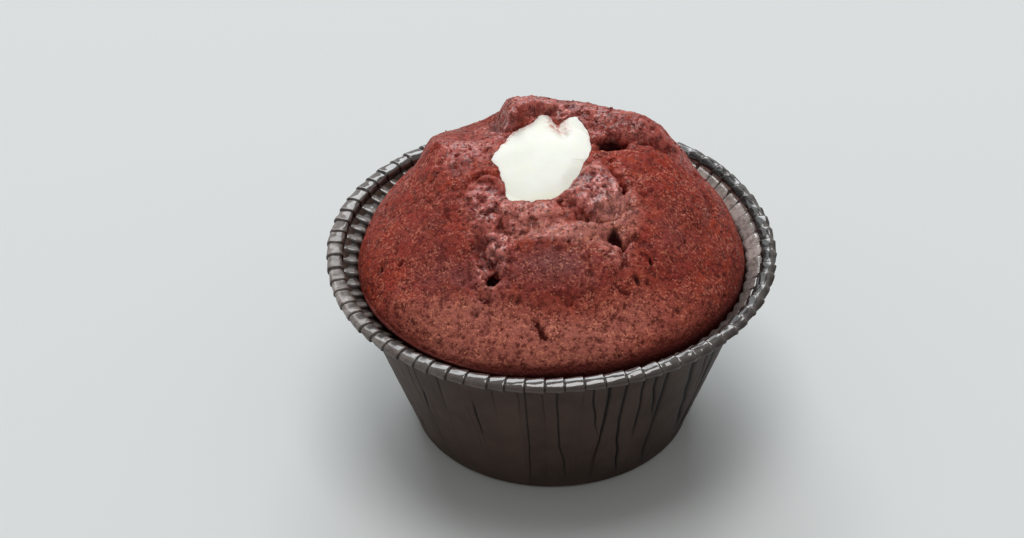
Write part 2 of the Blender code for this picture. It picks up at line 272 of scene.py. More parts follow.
# Paler parts of the crust, the front ones painted light on the front flank, and dusky ones where
# below 0: centre, size, turn, strength
TONES = (
    # painted light: the paler band low on the front flank
    ((-15.5, -26.0), (11.0, 4.2), -30.0, 0.9),
    ((0.0, -30.0), (10.0, 3.0), 0.0, 0.7),
    ((-9.0, -31.5), (9.0, 2.4), -16.0, 0.6),
    ((4.0, -33.2), (11.0, 1.9), 6.0, 0.6),
    ((14.0, -26.0), (9.0, 3.2), 30.0, 0.55),
    ((1.0, -14.8), (7.0, 2.0), -3.0, 1.0),  # ridge in front of the filling
    ((-3.4, -10.8), (4.6, 2.2), 0.0, 0.8),
    ((9.0, -13.0), (4.5, 2.2), 20.0, 0.95),
    ((13.0, -9.5), (4.0, 4.5), 0.0, 0.85),
    ((0.5, -20.2), (9.0, 4.0), 0.0, -1.0),
    ((-22.5, -9.0), (6.0, 9.0), 10.0, -0.3),
    ((-14.8, -20.5), (4.0, 2.6), -30.0, -0.8),
    ((-20.5, -18.5), (4.5, 3.6), -40.0, -0.55),
    ((19.5, -12.0), (5.5, 8.0), 20.0, -0.5),
)
# How far the crumb's edge is drawn in from the circle: azimuth in degrees, millimetres
EDGE_INSET = (
    (0, 0.3),
    (35, 0.9),
    (60, 0.4),
    (100, 0.4),
    (126, 1.3),
    (143, 2.4),
    (158, 2.1),
    (172, 0.8),
    (190, 0.1),
    (208, -0.5),
    (235, -0.6),
    (255, -0.1),
    (270, 0.4),
    (300, 0.5),
    (330, 0.2),
)
SOCKET_CENTRE = np.array([-1.6, 2.0]) * MM
SOCKET_LIP = (  # azimuth in degrees, radius in millimetres
    (-167, 8.0),
    (-143, 8.4),
    (-121, 11.6),
    (-98, 10.2),
    (-77, 9.9),
    (-43, 7.9),
    (-6, 7.6),
    (25, 9.4),
    (45, 11.1),
    (61, 12.6),
    (75, 10.4),
    (91, 11.6),
    (104, 9.6),
    (122, 8.4),
    (151, 7.8),
    (180, 9.2),
)
SOCKET_FLOOR = 38.0 * MM
CREAM_FLOOR = SOCKET_FLOOR + 0.3 * MM
SOCKET_TAPER = 0.55
LIP_INSET = 0.45 * MM
CREAM_FURROW = ((1.0, 14.0), (0.9, 11.0), (2.1, 8.2))

# ---- paper tables, in millimetres and degrees ------------------------------

FLOOR_ZONE, INNER_ZONE, ROLL_ZONE, OUTER_ZONE, BASE_ZONE = 0.0, 1.0, 2.0, 3.0, 4.0
# Shares across one pleat, close together by its groove
PLEAT_SHARES = np.array(
    (0.0, 0.03, 0.065, 0.12, 0.22, 0.33, 0.43, 0.53, 0.64, 0.76, 0.87, 0.935, 0.97)
)
FLANGE = (  # radius and height of the flat shelf inside the roll
    (34.78, 31.9),
    (34.9, 32.3),
    (35.15, 32.6),
    (35.5, 32.78),
    (35.9, 32.93),
    (36.3, 33.06),
    (36.7, 33.22),
    (37.1, 33.42),
)
# The plain wall: radius at its foot, how far it flares and how far it curves back
WALL_FOOT, WALL_FLARE, WALL_CURVE = 25.4, 10.9, 0.35
FLOOR_TOP = 0.55 * MM
BASE_EDGE = ((25.0, 0.5), (24.6, 0.15), (23.9, 0.0), (22.6, 0.0))  # radius and height
ROLL_WIDTH = 3.3 * MM
ROLL_HEIGHT = 2.2 * MM
RIM_DROP = (  # how far the rim sags: azimuth in degrees, millimetres
    (5, 0.0),
    (160, 0.0),
    (180, 0.2),
    (190, 0.6),
    (200, 1.0),
    (212, 1.2),
    (222, 1.15),
    (232, 0.9),
    (245, 0.95),
    (253, 0.8),
    (262, 0.5),
    (275, 0.2),
    (305, 0.1),
    (320, 0.25),
    (335, 0.4),
    (350, 0.3),
)
# Sectors of the rim: azimuth of the middle, half-width
MATT_LEFT = (196.0, 38.0)
OVALS_LEFT = (222.0, 26.0)
# Named creases of the case's front: pleat, how open, start and end as shares of the way down,
# and sideways drift in pleats at six even heights
CREASES = (
    (45, 0.80, 0.40, 0.66, (-0.6, -0.6, -0.6, -0.8, -0.8, -0.8)),
    (47, 0.45, 0.08, 0.48, (-0.7, -0.7, -0.8, -0.8, -0.8, -0.8)),
    (49, 0.65, 0.30, 0.68, (-0.5, -0.5, -0.5, -0.4, -0.4, -0.4)),
    (50, 0.30, 0.00, 0.40, (-0.1, -0.1, 0.0, 0.0, 0.0, 0.0)),
    (51, 0.35, 0.00, 0.42, (0.3, 0.4, 0.4, 0.4, 0.4, 0.4)),
    (52, 0.50, 0.00, 1.10, (-0.2, -0.2, -0.2, -0.2, -0.3, -0.4)),
    (53, 0.30, 0.02, 0.45, (-0.3, -0.2, -0.1, 0.0, 0.0, 0.0)),
    (54, 0.60, 0.03, 1.00, (-0.4, -0.4, -0.3, -0.2, 0.2, 0.4)),
    (55, 0.22, 0.00, 0.40, (0.1, 0.1, 0.1, 0.1, 0.1, 0.1)),
    (56, 0.70, 0.00, 0.58, (-0.4, -0.3, 0.0, 0.4, 0.4, 0.4)),
    (57, 1.00, 0.00, 1.20, (-0.5, -0.4, -0.4, -0.5, -0.7, -0.7)),
    (58, 0.90, 0.00, 1.05, (-0.4, -0.4, -0.4, -0.2, 0.2, 0.6)),
    (59, 0.80, 0.00, 0.72, (-0.4, -0.3, -0.1, 0.0, 0.2, 0.2)),
    (60, 0.90, 0.00, 0.56, (-0.6, -0.5, -0.1, 0.4, 0.4, 0.4)),
    (61, 1.00, 0.00, 1.02, (-0.8, -0.7, -0.6, -0.5, -0.4, 0.0)),
    (62, 1.00, 0.00, 0.92, (0.1, 0.4, 0.8, 1.4, 2.1, 2.4)),
    (63, 0.60, 0.00, 0.60, (0.5, 0.7, 1.2, 1.4, 1.8, 2.1)),
    (64, 1.00, 0.00, 1.15, (0.4, 0.6, 1.0, 1.3, 1.4, 1.4)),
    (65, 0.25, 0.00, 0.80, (0.4, 0.5, 0.8, 1.0, 1.0, 1.0)),
    (66, 0.20, 0.00, 0.80, (0.3, 0.3, 0.5, 0.7, 0.7, 0.7)),
    (67, 0.20, 0.00, 0.80, (0.0, 0.0, 0.2, 0.3, 0.3, 0.3)),
)


# ---- general shapes --------------------------------------------------------


def smooth(low, high, value):
    """0 below low, 1 above high and the curve 3s^2 - 2s^3 between."""
    share = np.clip((value - low) / (high - low), 0.0, 1.0)
    return share * share * (3.0 - 2.0 * share)


def bell(distance, width, power=2):
    """1 at no distance and near 0 past the width: exp(-(d/w)^power)."""
    return np.exp(-((distance / width) ** power))


def around(columns, crowding=0.0):
    """Azimuths t - c cos(t), one for each column, which crowd to the front where c is above 0."""
    turn = np.arange(columns) * TURN / columns
    return turn - crowding * np.cos(turn)


def heading(azimuth):
    """The unit direction of an azimuth, in plan."""
    return np.stack((np.cos(azimuth), np.sin(azimuth)), -1)


def read_round(azimuth, table):
    """Metres from a table of azimuth in degrees and millimetres, straight between its stops."""
    turns, amounts = np.array(table).T
    return np.interp(np.degrees(azimuth), turns, amounts, period=360.0) * MM


def place_in_plane(x, y):
    """Plan places as points at height 0."""
    return np.stack((x, y, np.zeros_like(x)), -1)


def lattice(points, seed):
    """A random number from 0 to 1 for each whole-number place, the same for the same place."""
    mixed = points[..., 0] * 73856093 ^ points[..., 1] * 19349663 ^ points[..., 2] * 83492791
    mixed = (mixed ^ (seed * 2654435761)) & 0xFFFFFFFF
    mixed = ((mixed ^ (mixed >> 15)) * 2246822519) & 0xFFFFFFFF
    mixed = ((mixed ^ (mixed >> 13)) * 3266489917) & 0xFFFFFFFF
    return ((mixed ^ (mixed >> 16)) & 0xFFFFFF) / float(0xFFFFFF)


def value_noise(points, cell, seed):
    """Random values on a cubic lattice, blended between its corners by an S-curve; -1 to 1."""
    scaled = points / cell
    corner = np.floor(scaled).astype(np.int64)
    part = smooth(0.0, 1.0, scaled - corner)
    total = np.zeros(points.shape[:-1])
    for dx in (0, 1):
        for dy in (0, 1):
            for dz in (0, 1):
                weight = np.abs(1 - dx - part[..., 0])
                weight = weight * np.abs(1 - dy - part[..., 1])
                weight = weight * np.abs(1 - dz - part[..., 2])
                total += weight * lattice(corner + (dx, dy, dz), seed)
    return 2.0 * total - 1.0


def layered_noise(points, cell, octaves, seed):
    """Value noise summed over octaves, each with half the cell and half the height."""
    total = np.zeros(points.shape[:-1])
    for octave in range(octaves):
        share = 0.5**octave
        total += share * value_noise(points, cell * share, seed + octave)
    return total


def cell_distance(points, cell, seed):
    """Distance, in cells, to the nearest and the next of one random point in each cell."""
    scaled = points / cell
    corner = np.floor(scaled).astype(np.int64)
    nearest = np.full(points.shape[:-1], 9.0)
    second = np.full(points.shape[:-1], 9.0)
    for step in np.ndindex(3, 3, 3):
        home = corner + np.array(step) - 1
        spot = np.stack([lattice(home, seed + axis) for axis in range(3)], -1) + home
        gap = np.linalg.norm(spot - scaled, axis=-1)
        second = np.minimum(second, np.maximum(gap, nearest))
        nearest = np.minimum(nearest, gap)
    return nearest, second


def grid_normals(grid, outward=1.0):
    """Unit normals of a grid closed in its second direction, from neighbour differences."""
    along = np.gradient(grid, axis=0)
    across = np.roll(grid, -1, axis=1) - np.roll(grid, 1, axis=1)
    normal = np.cross(across, along) * outward
    return normal / (np.linalg.norm(normal, axis=-1, keepdims=True) + 1e-12)


def route_distance(x, y, route):
    """Distance to a route of straight pieces, and the share of the way along it."""
    nearest = np.full(x.shape, np.inf)
    along = np.zeros(x.shape)
    points = np.array(route) * MM
    for index, (start, end) in enumerate(zip(points[:-1], points[1:])):
        step = end - start
        share = ((x - start[0]) * step[0] + (y - start[1]) * step[1]) / (step @ step)
        share = np.clip(share, 0.0, 1.0)
        gap = np.hypot(x - start[0] - share * step[0], y - start[1] - share * step[1])
        along = np.where(gap < nearest, (index + share) / (len(points) - 1), along)
        nearest = np.minimum(gap, nearest)
    return nearest, along


def inside_outline(x, y, outline):
    """True where a point lies within a closed outline, by counting crossings."""
    points = np.array(outline) * MM
    crossings = np.zeros(x.shape, int)
    for start, end in zip(points, np.roll(points, -1, axis=0)):
        spans = (start[1] > y) != (end[1] > y)
        reach = start[0] + (y - start[1]) * (end[0] - start[0]) / (end[1] - start[1] + 1e-12)
        crossings += spans & (x < reach)
    return crossings % 2 == 1


def face_share(x, y, outline, face):
    """How far a place inside a closed outline is up its sloping face of this width, 0 to 1."""
    distance, _ = route_distance(x, y, outline + outline[:1])
    return np.clip(distance / face, 0.0, 1.0) * inside_outline(x, y, outline)


def spread(x, y, centre, size, turn):
    """A rounded spot that is 1 at its centre: exp(-u^2 - v^2) in its own turned axes."""
    angle = np.radians(turn)
    across = x - centre[0] * MM
    back = y - centre[1] * MM
    u = (across * np.cos(angle) + back * np.sin(angle)) / (size[0] * MM)
    v = (back * np.cos(angle) - across * np.sin(angle)) / (size[1] * MM)
    return np.exp(-u * u - v * v)


# ---- meshes ----------------------------------------------------------------


def ring_faces(ring_count, columns):
    """Quads between neighbouring rings, wound so that the rings rise outwards."""
    ring = np.arange(ring_count - 1)[:, None] * columns
    column = np.arange(columns)[None, :]
    beside = (column + 1) % columns
    low, high = ring + column, ring + beside
    return np.stack((low, high, high + columns, low + columns), -1).reshape(-1, 4)


def pole_faces(ring_count, columns):
    """A fan of triangles on the first ring and one on the last."""
    column = np.arange(columns)
    beside = (column + 1) % columns
    last = (ring_count - 1) * columns
    first_pole = np.full(columns, ring_count * columns)
    low = np.stack((first_pole, beside, column), -1)
    high = np.stack((first_pole + 1, last + column, last + beside), -1)
    return np.concatenate((low, high))


def make_mesh(name, points, quads, triangles):
    """A mesh from whole arrays of points, quads and triangles."""
    mesh = bpy.data.meshes.new(name)
    loops = np.concatenate((quads.reshape(-1), triangles.reshape(-1)))
    first_triangle = len(quads) * 4
    triangle_starts = first_triangle + np.arange(len(triangles)) * 3
    starts = np.concatenate((np.arange(len(quads)) * 4, triangle_starts))
    mesh.vertices.add(len(points))
    mesh.vertices.foreach_set("co", points.astype(np.float32).reshape(-1))
    mesh.loops.add(len(loops))
    mesh.loops.foreach_set("vertex_index", loops.astype(np.int32))
    mesh.polygons.add(len(starts))
    mesh.polygons.foreach_set("loop_start", starts.astype(np.int32))
    mesh.update(calc_edges=True)
    mesh.validate()
    mesh.shade_smooth()
    return mesh


def new_object(name, data):
    """An object linked to the scene."""
    item = bpy.data.objects.new(name, data)
    bpy.context.scene.collection.objects.link(item)
    return item


def make_piece(name, mesh, node):
    """A mesh as a piece that rides on the root body and stands for a CAD node."""
    piece = new_object(name, mesh)
    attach(piece, "root")
    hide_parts(node)
    return piece


def ring_piece(name, rings, poles, node, inward=False):
    """A closed piece from rings (ring, column, xyz) and its two end points."""
    points = np.concatenate((rings.reshape(-1, 3), np.array(poles)))
    quads = ring_faces(rings.shape[0], rings.shape[1])
    triangles = pole_faces(rings.shape[0], rings.shape[1])
    if inward:
        quads = quads[:, ::-1]
        triangles = triangles[:, ::-1]
    mesh = make_mesh(name, points, quads, triangles)
    return make_piece(name, mesh, node)


def add_attribute(mesh, name, values, poles=(0.0, 0.0)):
    """One number for each vertex, which a material can read by name."""
    attribute = mesh.attributes.new(name, "FLOAT", "POINT")
    flat = np.concatenate((np.asarray(values, np.float32).reshape(-1), np.array(poles, np.float32)))
    attribute.data.foreach_set("value", flat)


# ---- crumb -----------------------------------------------------------------


def back_lobe_height(x, y):
    """A rounded step, h s (2 - s) with s the share of its face crossed, that sinks further back."""
    to_right = smooth(-4.0 * MM, 14.0 * MM, x)
    face = BACK_LOBE_FACE[0] + (BACK_LOBE_FACE[1] - BACK_LOBE_FACE[0]) * to_right
    share = face_share(x, y, BACK_LOBE, face * MM)
    stops = np.array(BACK_LOBE_CREST) * MM
    height = np.interp(x, stops[:, 0], stops[:, 1])
    sink = 1.0 - 0.9 * smooth(11.0 * MM, 26.0 * MM, y)
    return height * share * (2.0 - share) * sink


def torn_lump_height(x, y):
    """A rounded step, h s (2 - s), inside the torn lump's outline."""
    share = face_share(x, y, TORN_LUMP, TORN_LUMP_FACE * MM)
    return TORN_LUMP_HEIGHT * MM * share * (2.0 - share)


def valley_relief(x, y):
    """Valleys -d exp(-(r/w)^2) whose width and depth change along each route, and their shade."""
    relief = np.zeros(x.shape)
    shade = np.zeros(x.shape)
    for stops in VALLEYS:
        depth = np.zeros(x.shape)
        for start, end in zip(stops[:-1], stops[1:]):
            distance, share = route_distance(x, y, (start[:2], end[:2]))
            width = (start[2] + (end[2] - start[2]) * share) * MM
            here = (start[3] + (end[3] - start[3]) * share) * bell(distance, width)
            depth = np.where(np.abs(here) > np.abs(depth), here, depth)
        relief -= depth * MM
        shade = np.maximum(shade, depth / 1.6)
    return relief, shade


def hole_relief(x, y):
    """Holes -d exp(-(r/w)^4), steep at the side and flat below, and the painted shade in each,
    reaching up its far wall.
    """
    relief = np.zeros(x.shape)
    inside = np.zeros(x.shape)
    for centre, size, turn, depth in HOLES:
        spot = np.exp(-(np.log(np.maximum(spread(x, y, centre, size, turn), 1e-9)) ** 2))
        relief -= depth * MM * spot
        far_wall = (centre[0], centre[1] + 0.12 * depth)
        shade = spread(x, y, far_wall, (size[0] * 1.05, size[1] * 1.1), turn)
        inside = np.maximum(inside, np.clip(2.4 * shade - 0.8, 0.0, 1.0) * min(1.0, depth / 1.4))
    return relief, inside


def crater_relief(x, y):
    """Ripples a cos(2 pi r / w) round the left crater, on its upper side."""
    across, back = x - CRATER_CENTRE[0] * MM, y - CRATER_CENTRE[1] * MM
    reach = np.hypot(across, back) / MM
    upper = smooth(-3.0 * MM, 1.0 * MM, back)
    fade = bell(reach - 3.4, 2.0) * upper
    return 0.42 * MM * fade * np.cos(TURN * (reach - 3.0) / 2.1)


def lump_relief(x, y):
    """The sum of the rounded rises and hollows h exp(-u^2 - v^2)."""
    relief = torn_lump_height(x, y) + crater_relief(x, y)
    for centre, size, turn, height in LUMPS:
        relief += height * MM * spread(x, y, centre, size, turn)
    return relief


def dome_height(x, y, sizes):
    """The plain dome: a height h (1 - (r/R)^p)^q over the equator, with h rising to the back."""
    reach = np.clip(np.hypot(x, y) / sizes.equator_radius, 0.0, 1.0)
    profile = np.clip(1.0 - reach**sizes.shoulder, 0.0, 1.0) ** sizes.flank
    return sizes.equator_height + (sizes.crown_rise + sizes.crown_tilt * y) * profile


def cream_height(x, y, sizes):
    """Level with the dome at its edge, with a low rounded crown."""
    offset = np.hypot(x - SOCKET_CENTRE[0], y - SOCKET_CENTRE[1])
    rise = 0.9 * MM * np.clip(1.0 - (offset / (10.0 * MM)) ** 2, 0.0, 1.0)
    edge = sizes.equator_height + sizes.crown_rise - 0.7 * MM + sizes.crown_tilt * y
    return edge + rise


def lip_plan(azimuth, inset=0.0, scale=1.0):
    """The lip's place in plan, drawn in by an inset and scaled about its centre."""
    reach = scale * read_round(azimuth, SOCKET_LIP) - inset
    return SOCKET_CENTRE + heading(azimuth) * reach[..., None]


def equator_plan(azimuth, sizes):
    """The crumb's widest outline: a circle drawn in by the inset named for each azimuth."""
    radius = sizes.equator_radius - read_round(azimuth, EDGE_INSET)
    return heading(azimuth) * radius[..., None]


def edge_rounding(inward):
    """A quarter circle sqrt(s (2 - s)) over the outermost 2 mm, where the crumb turns down."""
    share = np.clip(inward / (2.0 * MM), 0.0, 1.0)
    return np.sqrt(share * (2.0 - share))


def even_shares(count, sizes):
    """Shares from equator to lip that are evenly spaced along the dome's middle profile."""
    share = np.linspace(0.0, 1.0, 4000)
    radius = sizes.equator_radius * (1.0 - share) + 10.0 * MM * share
    height = dome_height(radius, np.zeros_like(radius), sizes) - sizes.equator_height
    height = height * edge_rounding(sizes.equator_radius - radius)
    length = np.concatenate(((0.0,), np.cumsum(np.hypot(np.diff(radius), np.diff(height)))))
    return np.interp(np.linspace(0.0, length[-1], count), length, share)


def wall_radius(height):
    """Outside of the plain wall: foot + flare s - curve s^4, with s the share of the way up."""
    low = 1.8 * MM
    high = CASE_HEIGHT - 2.8 * MM
    share = (height - low) / (high - low)
    return WALL_FOOT * MM + (WALL_FLARE * share - WALL_CURVE * share**4) * MM


def under_grid(azimuth, sizes):
    """The crumb inside the case: it follows the paper, then leaves it below the equator."""
    heights = np.array((0.0, 0.7, 4.0, 9.0, 14.0, 19.0, 22.0)) * MM + CRUMB_FLOOR
    heights = np.append(heights, np.linspace(24.0, 32.4, 14) * MM)
    touch = wall_radius(heights) - 1.15 * MM
    touch[0] -= 2.4 * MM
    touch[1] -= 0.9 * MM
    free = smooth(19.0 * MM, sizes.equator_height - 1.5 * MM, heights)
    equator = np.linalg.norm(equator_plan(azimuth, sizes), axis=-1)
    radius = touch[:, None] * (1.0 - free[:, None]) + (equator - 0.05 * MM) * free[:, None]
    radius = np.minimum(radius, wall_radius(heights)[:, None] - 1.1 * MM)
    height = np.broadcast_to(heights[:, None], radius.shape)
    return np.stack((radius * np.cos(azimuth), radius * np.sin(azimuth), height), -1)


def dome_grid(azimuth, sizes, rings):
    """Plan places blended from equator to lip, lifted to the dome with its lobes and cracks.

    The cracks' and the back lobe's edges are made ragged by reading them at places moved by noise.
    """
    share = even_shares(rings, sizes)[:, None, None]
    place = (1.0 - share) * equator_plan(azimuth, sizes) + share * lip_plan(azimuth, LIP_INSET)
    x, y = place[..., 0], place[..., 1]
    ragged_x = x + 0.50 * MM * layered_noise(place_in_plane(x, y), 1.5 * MM, 3, 81)
    ragged_y = y + 0.50 * MM * layered_noise(place_in_plane(x, y), 1.5 * MM, 3, 91)
    valleys, valley_shade = valley_relief(ragged_x, ragged_y)
    holes, hole_shade = hole_relief(ragged_x, ragged_y)
    relief = back_lobe_height(ragged_x, ragged_y) + lump_relief(x, y) + valleys + holes
    inward = np.linalg.norm(equator_plan(azimuth, sizes), axis=-1) - np.hypot(x, y)
    rise = dome_height(x, y, sizes) - sizes.equator_height + relief * smooth(0.0, 3.0 * MM, inward)
    height = sizes.equator_height + rise * edge_rounding(inward)
    front = np.sqrt(np.clip(-np.sin(azimuth), 0.0, 1.0))
    # painted shadow over the crumb's outer edge, strongest at the front
    edge_shade = 0.88 * smooth(1.7 * MM, 0.1 * MM, inward) * (0.15 + 0.85 * front)
    valley_shade = np.maximum(valley_shade, edge_shade)
    # painted shadow along the crumb's very edge, strongest at the front
    hole_shade = np.maximum(hole_shade, 0.62 * front * smooth(0.7 * MM, 0.0, inward))
    near_lip = smooth(0.97, 1.0, share[..., 0])
    height = height * (1.0 - near_lip) + (cream_height(x, y, sizes) - 0.3 * MM) * near_lip
    shades = np.stack((hole_shade, valley_shade)) * (1.0 - near_lip)
    return np.concatenate((place, height[..., None]), -1), shades


def socket_grid(azimuth, sizes, inset, floor, shares):
    """Rings down the socket's side, which narrows as 1 - t^2 (1 - taper)."""
    lip = lip_plan(azimuth, inset)
    top = cream_height(lip[:, 0], lip[:, 1], sizes)
    rings = []
    for share in shares:
        place = lip_plan(azimuth, inset, 1.0 - (1.0 - SOCKET_TAPER) * share**2)
        height = top + (floor - top) * share
        rings.append(np.concatenate((place, height[:, None]), -1))
    return np.array(rings)


def torn_share(x, y):
    """How torn the crust is at a place in plan, from 0 to 1."""
    share = np.zeros(x.shape)
    for centre, size, turn, strength in TORN:
        here = np.minimum(1.0, 1.5 * spread(x, y, centre, size, turn))
        share = np.maximum(share, strength * here)
    return share


def tone_share(x, y):
    """How pale, partly as painted light, or below 0 how dusky, the crust is at a place in plan."""
    share = np.zeros(x.shape)
    for centre, size, turn, strength in TONES:
        share += strength * spread(x, y, centre, size, turn)
    return share


def pore_depth(points, rng, count):
    """Small round pits at random places on the flank: d exp(-(r/w)^2) for each."""
    azimuth = rng.uniform(0.0, TURN, count)
    height = rng.uniform(34.0, 50.0, count) * MM
    total = np.zeros(points.shape[:-1])
    for turn, level in zip(azimuth, height):
        size = rng.uniform(0.30, 0.62) * MM
        depth = rng.uniform(0.25, 0.6) * MM
        out = heading(turn)
        side = points[..., 0] * out[1] - points[..., 1] * out[0]
        ahead = points[..., 0] * out[0] + points[..., 1] * out[1] > 0.0
        gap = np.hypot(side, (points[..., 2] - level) * 1.2)
        total = np.maximum(total, ahead * depth * bell(gap, size))
    return total


def clumps(points, cell, seed):
    """Rounded clumps 1 - (d/r)^2 round the random points of cell_distance, from about -1 to 1."""
    nearest, _ = cell_distance(points, cell, seed)
    return 1.0 - 2.2 * nearest**2


def ridges(points, cell, seed):
    """Wrinkles 1 - 3|n|, sharp along the lines where value noise n is 0."""
    return 1.0 - 3.0 * np.abs(value_noise(points, cell, seed))


def crumb_relief(grid, torn, on_dome):
    """Millimetres of swell and fine grain on the crust, and of lumpy shreds where it is torn."""
    crown = 1.0 - smooth(14.0 * MM, 27.0 * MM, np.hypot(grid[..., 0], grid[..., 1]))
    swell = 0.30 * layered_noise(grid, 7.0 * MM, 2, 11)
    grain = (0.07 + 0.08 * crown) * clumps(grid, 1.3 * MM, 21)
    grain = grain + 0.05 * value_noise(grid, 0.7 * MM, 25)
    lobes = 0.22 * crown * clumps(grid, 3.2 * MM, 27)
    shreds = 0.40 * clumps(grid, 2.5 * MM, 31) + 0.26 * clumps(grid, 1.15 * MM, 41)
    shreds = shreds + 0.30 * ridges(grid, 1.7 * MM, 43) + 0.14 * ridges(grid, 0.8 * MM, 51)
    return (swell + grain + lobes) * on_dome + shreds * torn, shreds


def crumb_surface(sizes, columns, rings):
    """Rings of the whole crumb from its flat bottom to the socket's floor, with its masks."""
    rng = np.random.default_rng(SEED)
    azimuth = around(columns, 0.3)
    under = under_grid(azimuth, sizes)
    dome, shades = dome_grid(azimuth, sizes, rings)
    socket = socket_grid(azimuth, sizes, LIP_INSET, SOCKET_FLOOR, (0.05, 0.15, 0.4, 0.7, 0.95))
    grid = np.concatenate((under, dome, socket))
    hollow, valley = np.pad(shades, ((0, 0), (len(under), len(socket)), (0, 0)), mode="edge")
    row = np.arange(len(grid))[:, None]
    on_dome = smooth(len(under) - 6, len(under) + 4, row)
    on_dome = on_dome * (1.0 - smooth(len(grid) - 9, len(grid) - 4, row))
    x, y = grid[..., 0], grid[..., 1]
    torn = torn_share(x, y) * on_dome
    lift, shreds = crumb_relief(grid, torn, on_dome)
    pores = pore_depth(grid, rng, 120) * (1.0 - torn)
    moved = grid + grid_normals(grid) * ((lift * MM - pores * on_dome)[..., None])
    soft_top = CRUMB_HIGH[2] - 0.6 * MM
    moved[..., 2] -= 0.5 * np.maximum(moved[..., 2] - soft_top, 0.0)
    tone = tone_share(x, y)
    # painted light: paler towards the front
    front = 0.35 * smooth(-8.0 * MM, -24.0 * MM, y)
    return moved, {
        "torn": torn,
        # painted shade in the holes, the pits and along the front edge
        "hollow": np.clip(hollow + pores / (0.9 * MM), 0.0, 1.0),
        # painted shade in the valleys and over the crumb's outer edge
        "valley": np.clip(valley, 0.0, 1.0),
        "shreds": np.clip(0.45 + 0.8 * shreds, 0.0, 1.0),
        # paler parts of the crust, with painted light towards the front
        "pale_and_lit": np.clip(tone + front, 0.0, 1.0) * on_dome,
        "dusky": np.clip(-tone, 0.0, 1.0) * on_dome,
    }


def small_lumps(places, radius, rng):
    """Points and faces of an uneven ball at each place, of four rings of seven and two poles."""
    rise = np.radians((-50.0, -12.0, 24.0, 58.0))[:, None]
    turn = np.arange(7) * TURN / 7.0
    level = np.broadcast_to(np.sin(rise), (4, 7))
    rings = np.stack((np.cos(rise) * np.cos(turn), np.cos(rise) * np.sin(turn), level), -1)
    ball = np.concatenate((rings.reshape(-1, 3), ((0.0, 0.0, -1.0), (0.0, 0.0, 1.0))))
    stretch = rng.uniform(0.55, 1.3, (len(places), 1, 3))
    bumps = rng.uniform(0.75, 1.2, (len(places), len(ball), 1))
    points = places[:, None] + ball * stretch * bumps * radius[:, None, None]
    first = (np.arange(len(places)) * len(ball))[:, None, None]
    quads = (ring_faces(4, 7) + first).reshape(-1, 4)
    triangles = (pole_faces(4, 7) + first).reshape(-1, 3)
    return points.reshape(-1, 3), quads, triangles


def loose_crumbs(grid, torn, count):
    """Small crumbs at random places of the surface, most of them where the crust is torn."""
    rng = np.random.default_rng(SEED + 5)
    normal = grid_normals(grid).reshape(-1, 3)
    spots = grid.reshape(-1, 3)
    reach = np.hypot(spots[:, 0], spots[:, 1])
    open_air = (spots[:, 2] > 36.0 * MM) & (spots[:, 2] < 56.0 * MM)
    open_air &= np.linalg.norm(spots[:, :2] - SOCKET_CENTRE, axis=-1) > 12.5 * MM
    likely = open_air * reach * (0.04 + torn.reshape(-1) ** 2)
    chosen = rng.choice(len(spots), count, p=likely / likely.sum())
    radius = (0.10 + 0.22 * rng.uniform(0.0, 1.0, count) ** 2) * MM
    places = spots[chosen] + normal[chosen] * 0.2 * radius[:, None]
    return small_lumps(places, radius, rng)


# ---- cream -----------------------------------------------------------------


def sector(azimuth, centre, width):
    """A soft sector exp(-((a - c) / w)^2), with its centre in degrees and its width in radians."""
    return bell(azimuth - np.radians(centre), width)


def cream_top(azimuth, sizes, rings):
    """The plug's top from its edge, which turns straight down, to its middle.

    Rings shrink as cos(t) inside a ragged outline. Also how far in from the edge each place is.
    """
    scale = np.append(np.ones(5), np.cos(np.linspace(0.03, 0.5 * np.pi, rings + 1)[:-1]))
    drop = np.append((1.6, 1.1, 0.7, 0.35, 0.12), np.zeros(rings)) * MM
    tuck = np.append((0.45, 0.2, 0.06, 0.0, 0.04), np.full(rings, 0.10)) * MM
    rim = lip_plan(azimuth) - SOCKET_CENTRE
    jag = layered_noise(place_in_plane(rim[:, 0], rim[:, 1]), 1.7 * MM, 3, 65) * 0.36 * MM
    reach = np.linalg.norm(rim, axis=-1)
    outline = rim * (1.0 + jag / reach)[:, None]
    place = outline[None] * (scale[:, None] - tuck[:, None] / reach)[..., None] + SOCKET_CENTRE
    inward = (1.0 - scale)[:, None] * 9.5 * MM * np.ones_like(reach)
    sag = 0.45 * MM * sector(azimuth, 312.0, 0.75) * (1.0 - smooth(0.0, 3.6 * MM, inward))
    level = cream_height(place[..., 0], place[..., 1], sizes)
    height = level + 0.12 * MM - drop[:, None] - sag
    return np.concatenate((place, height[..., None]), -1), inward


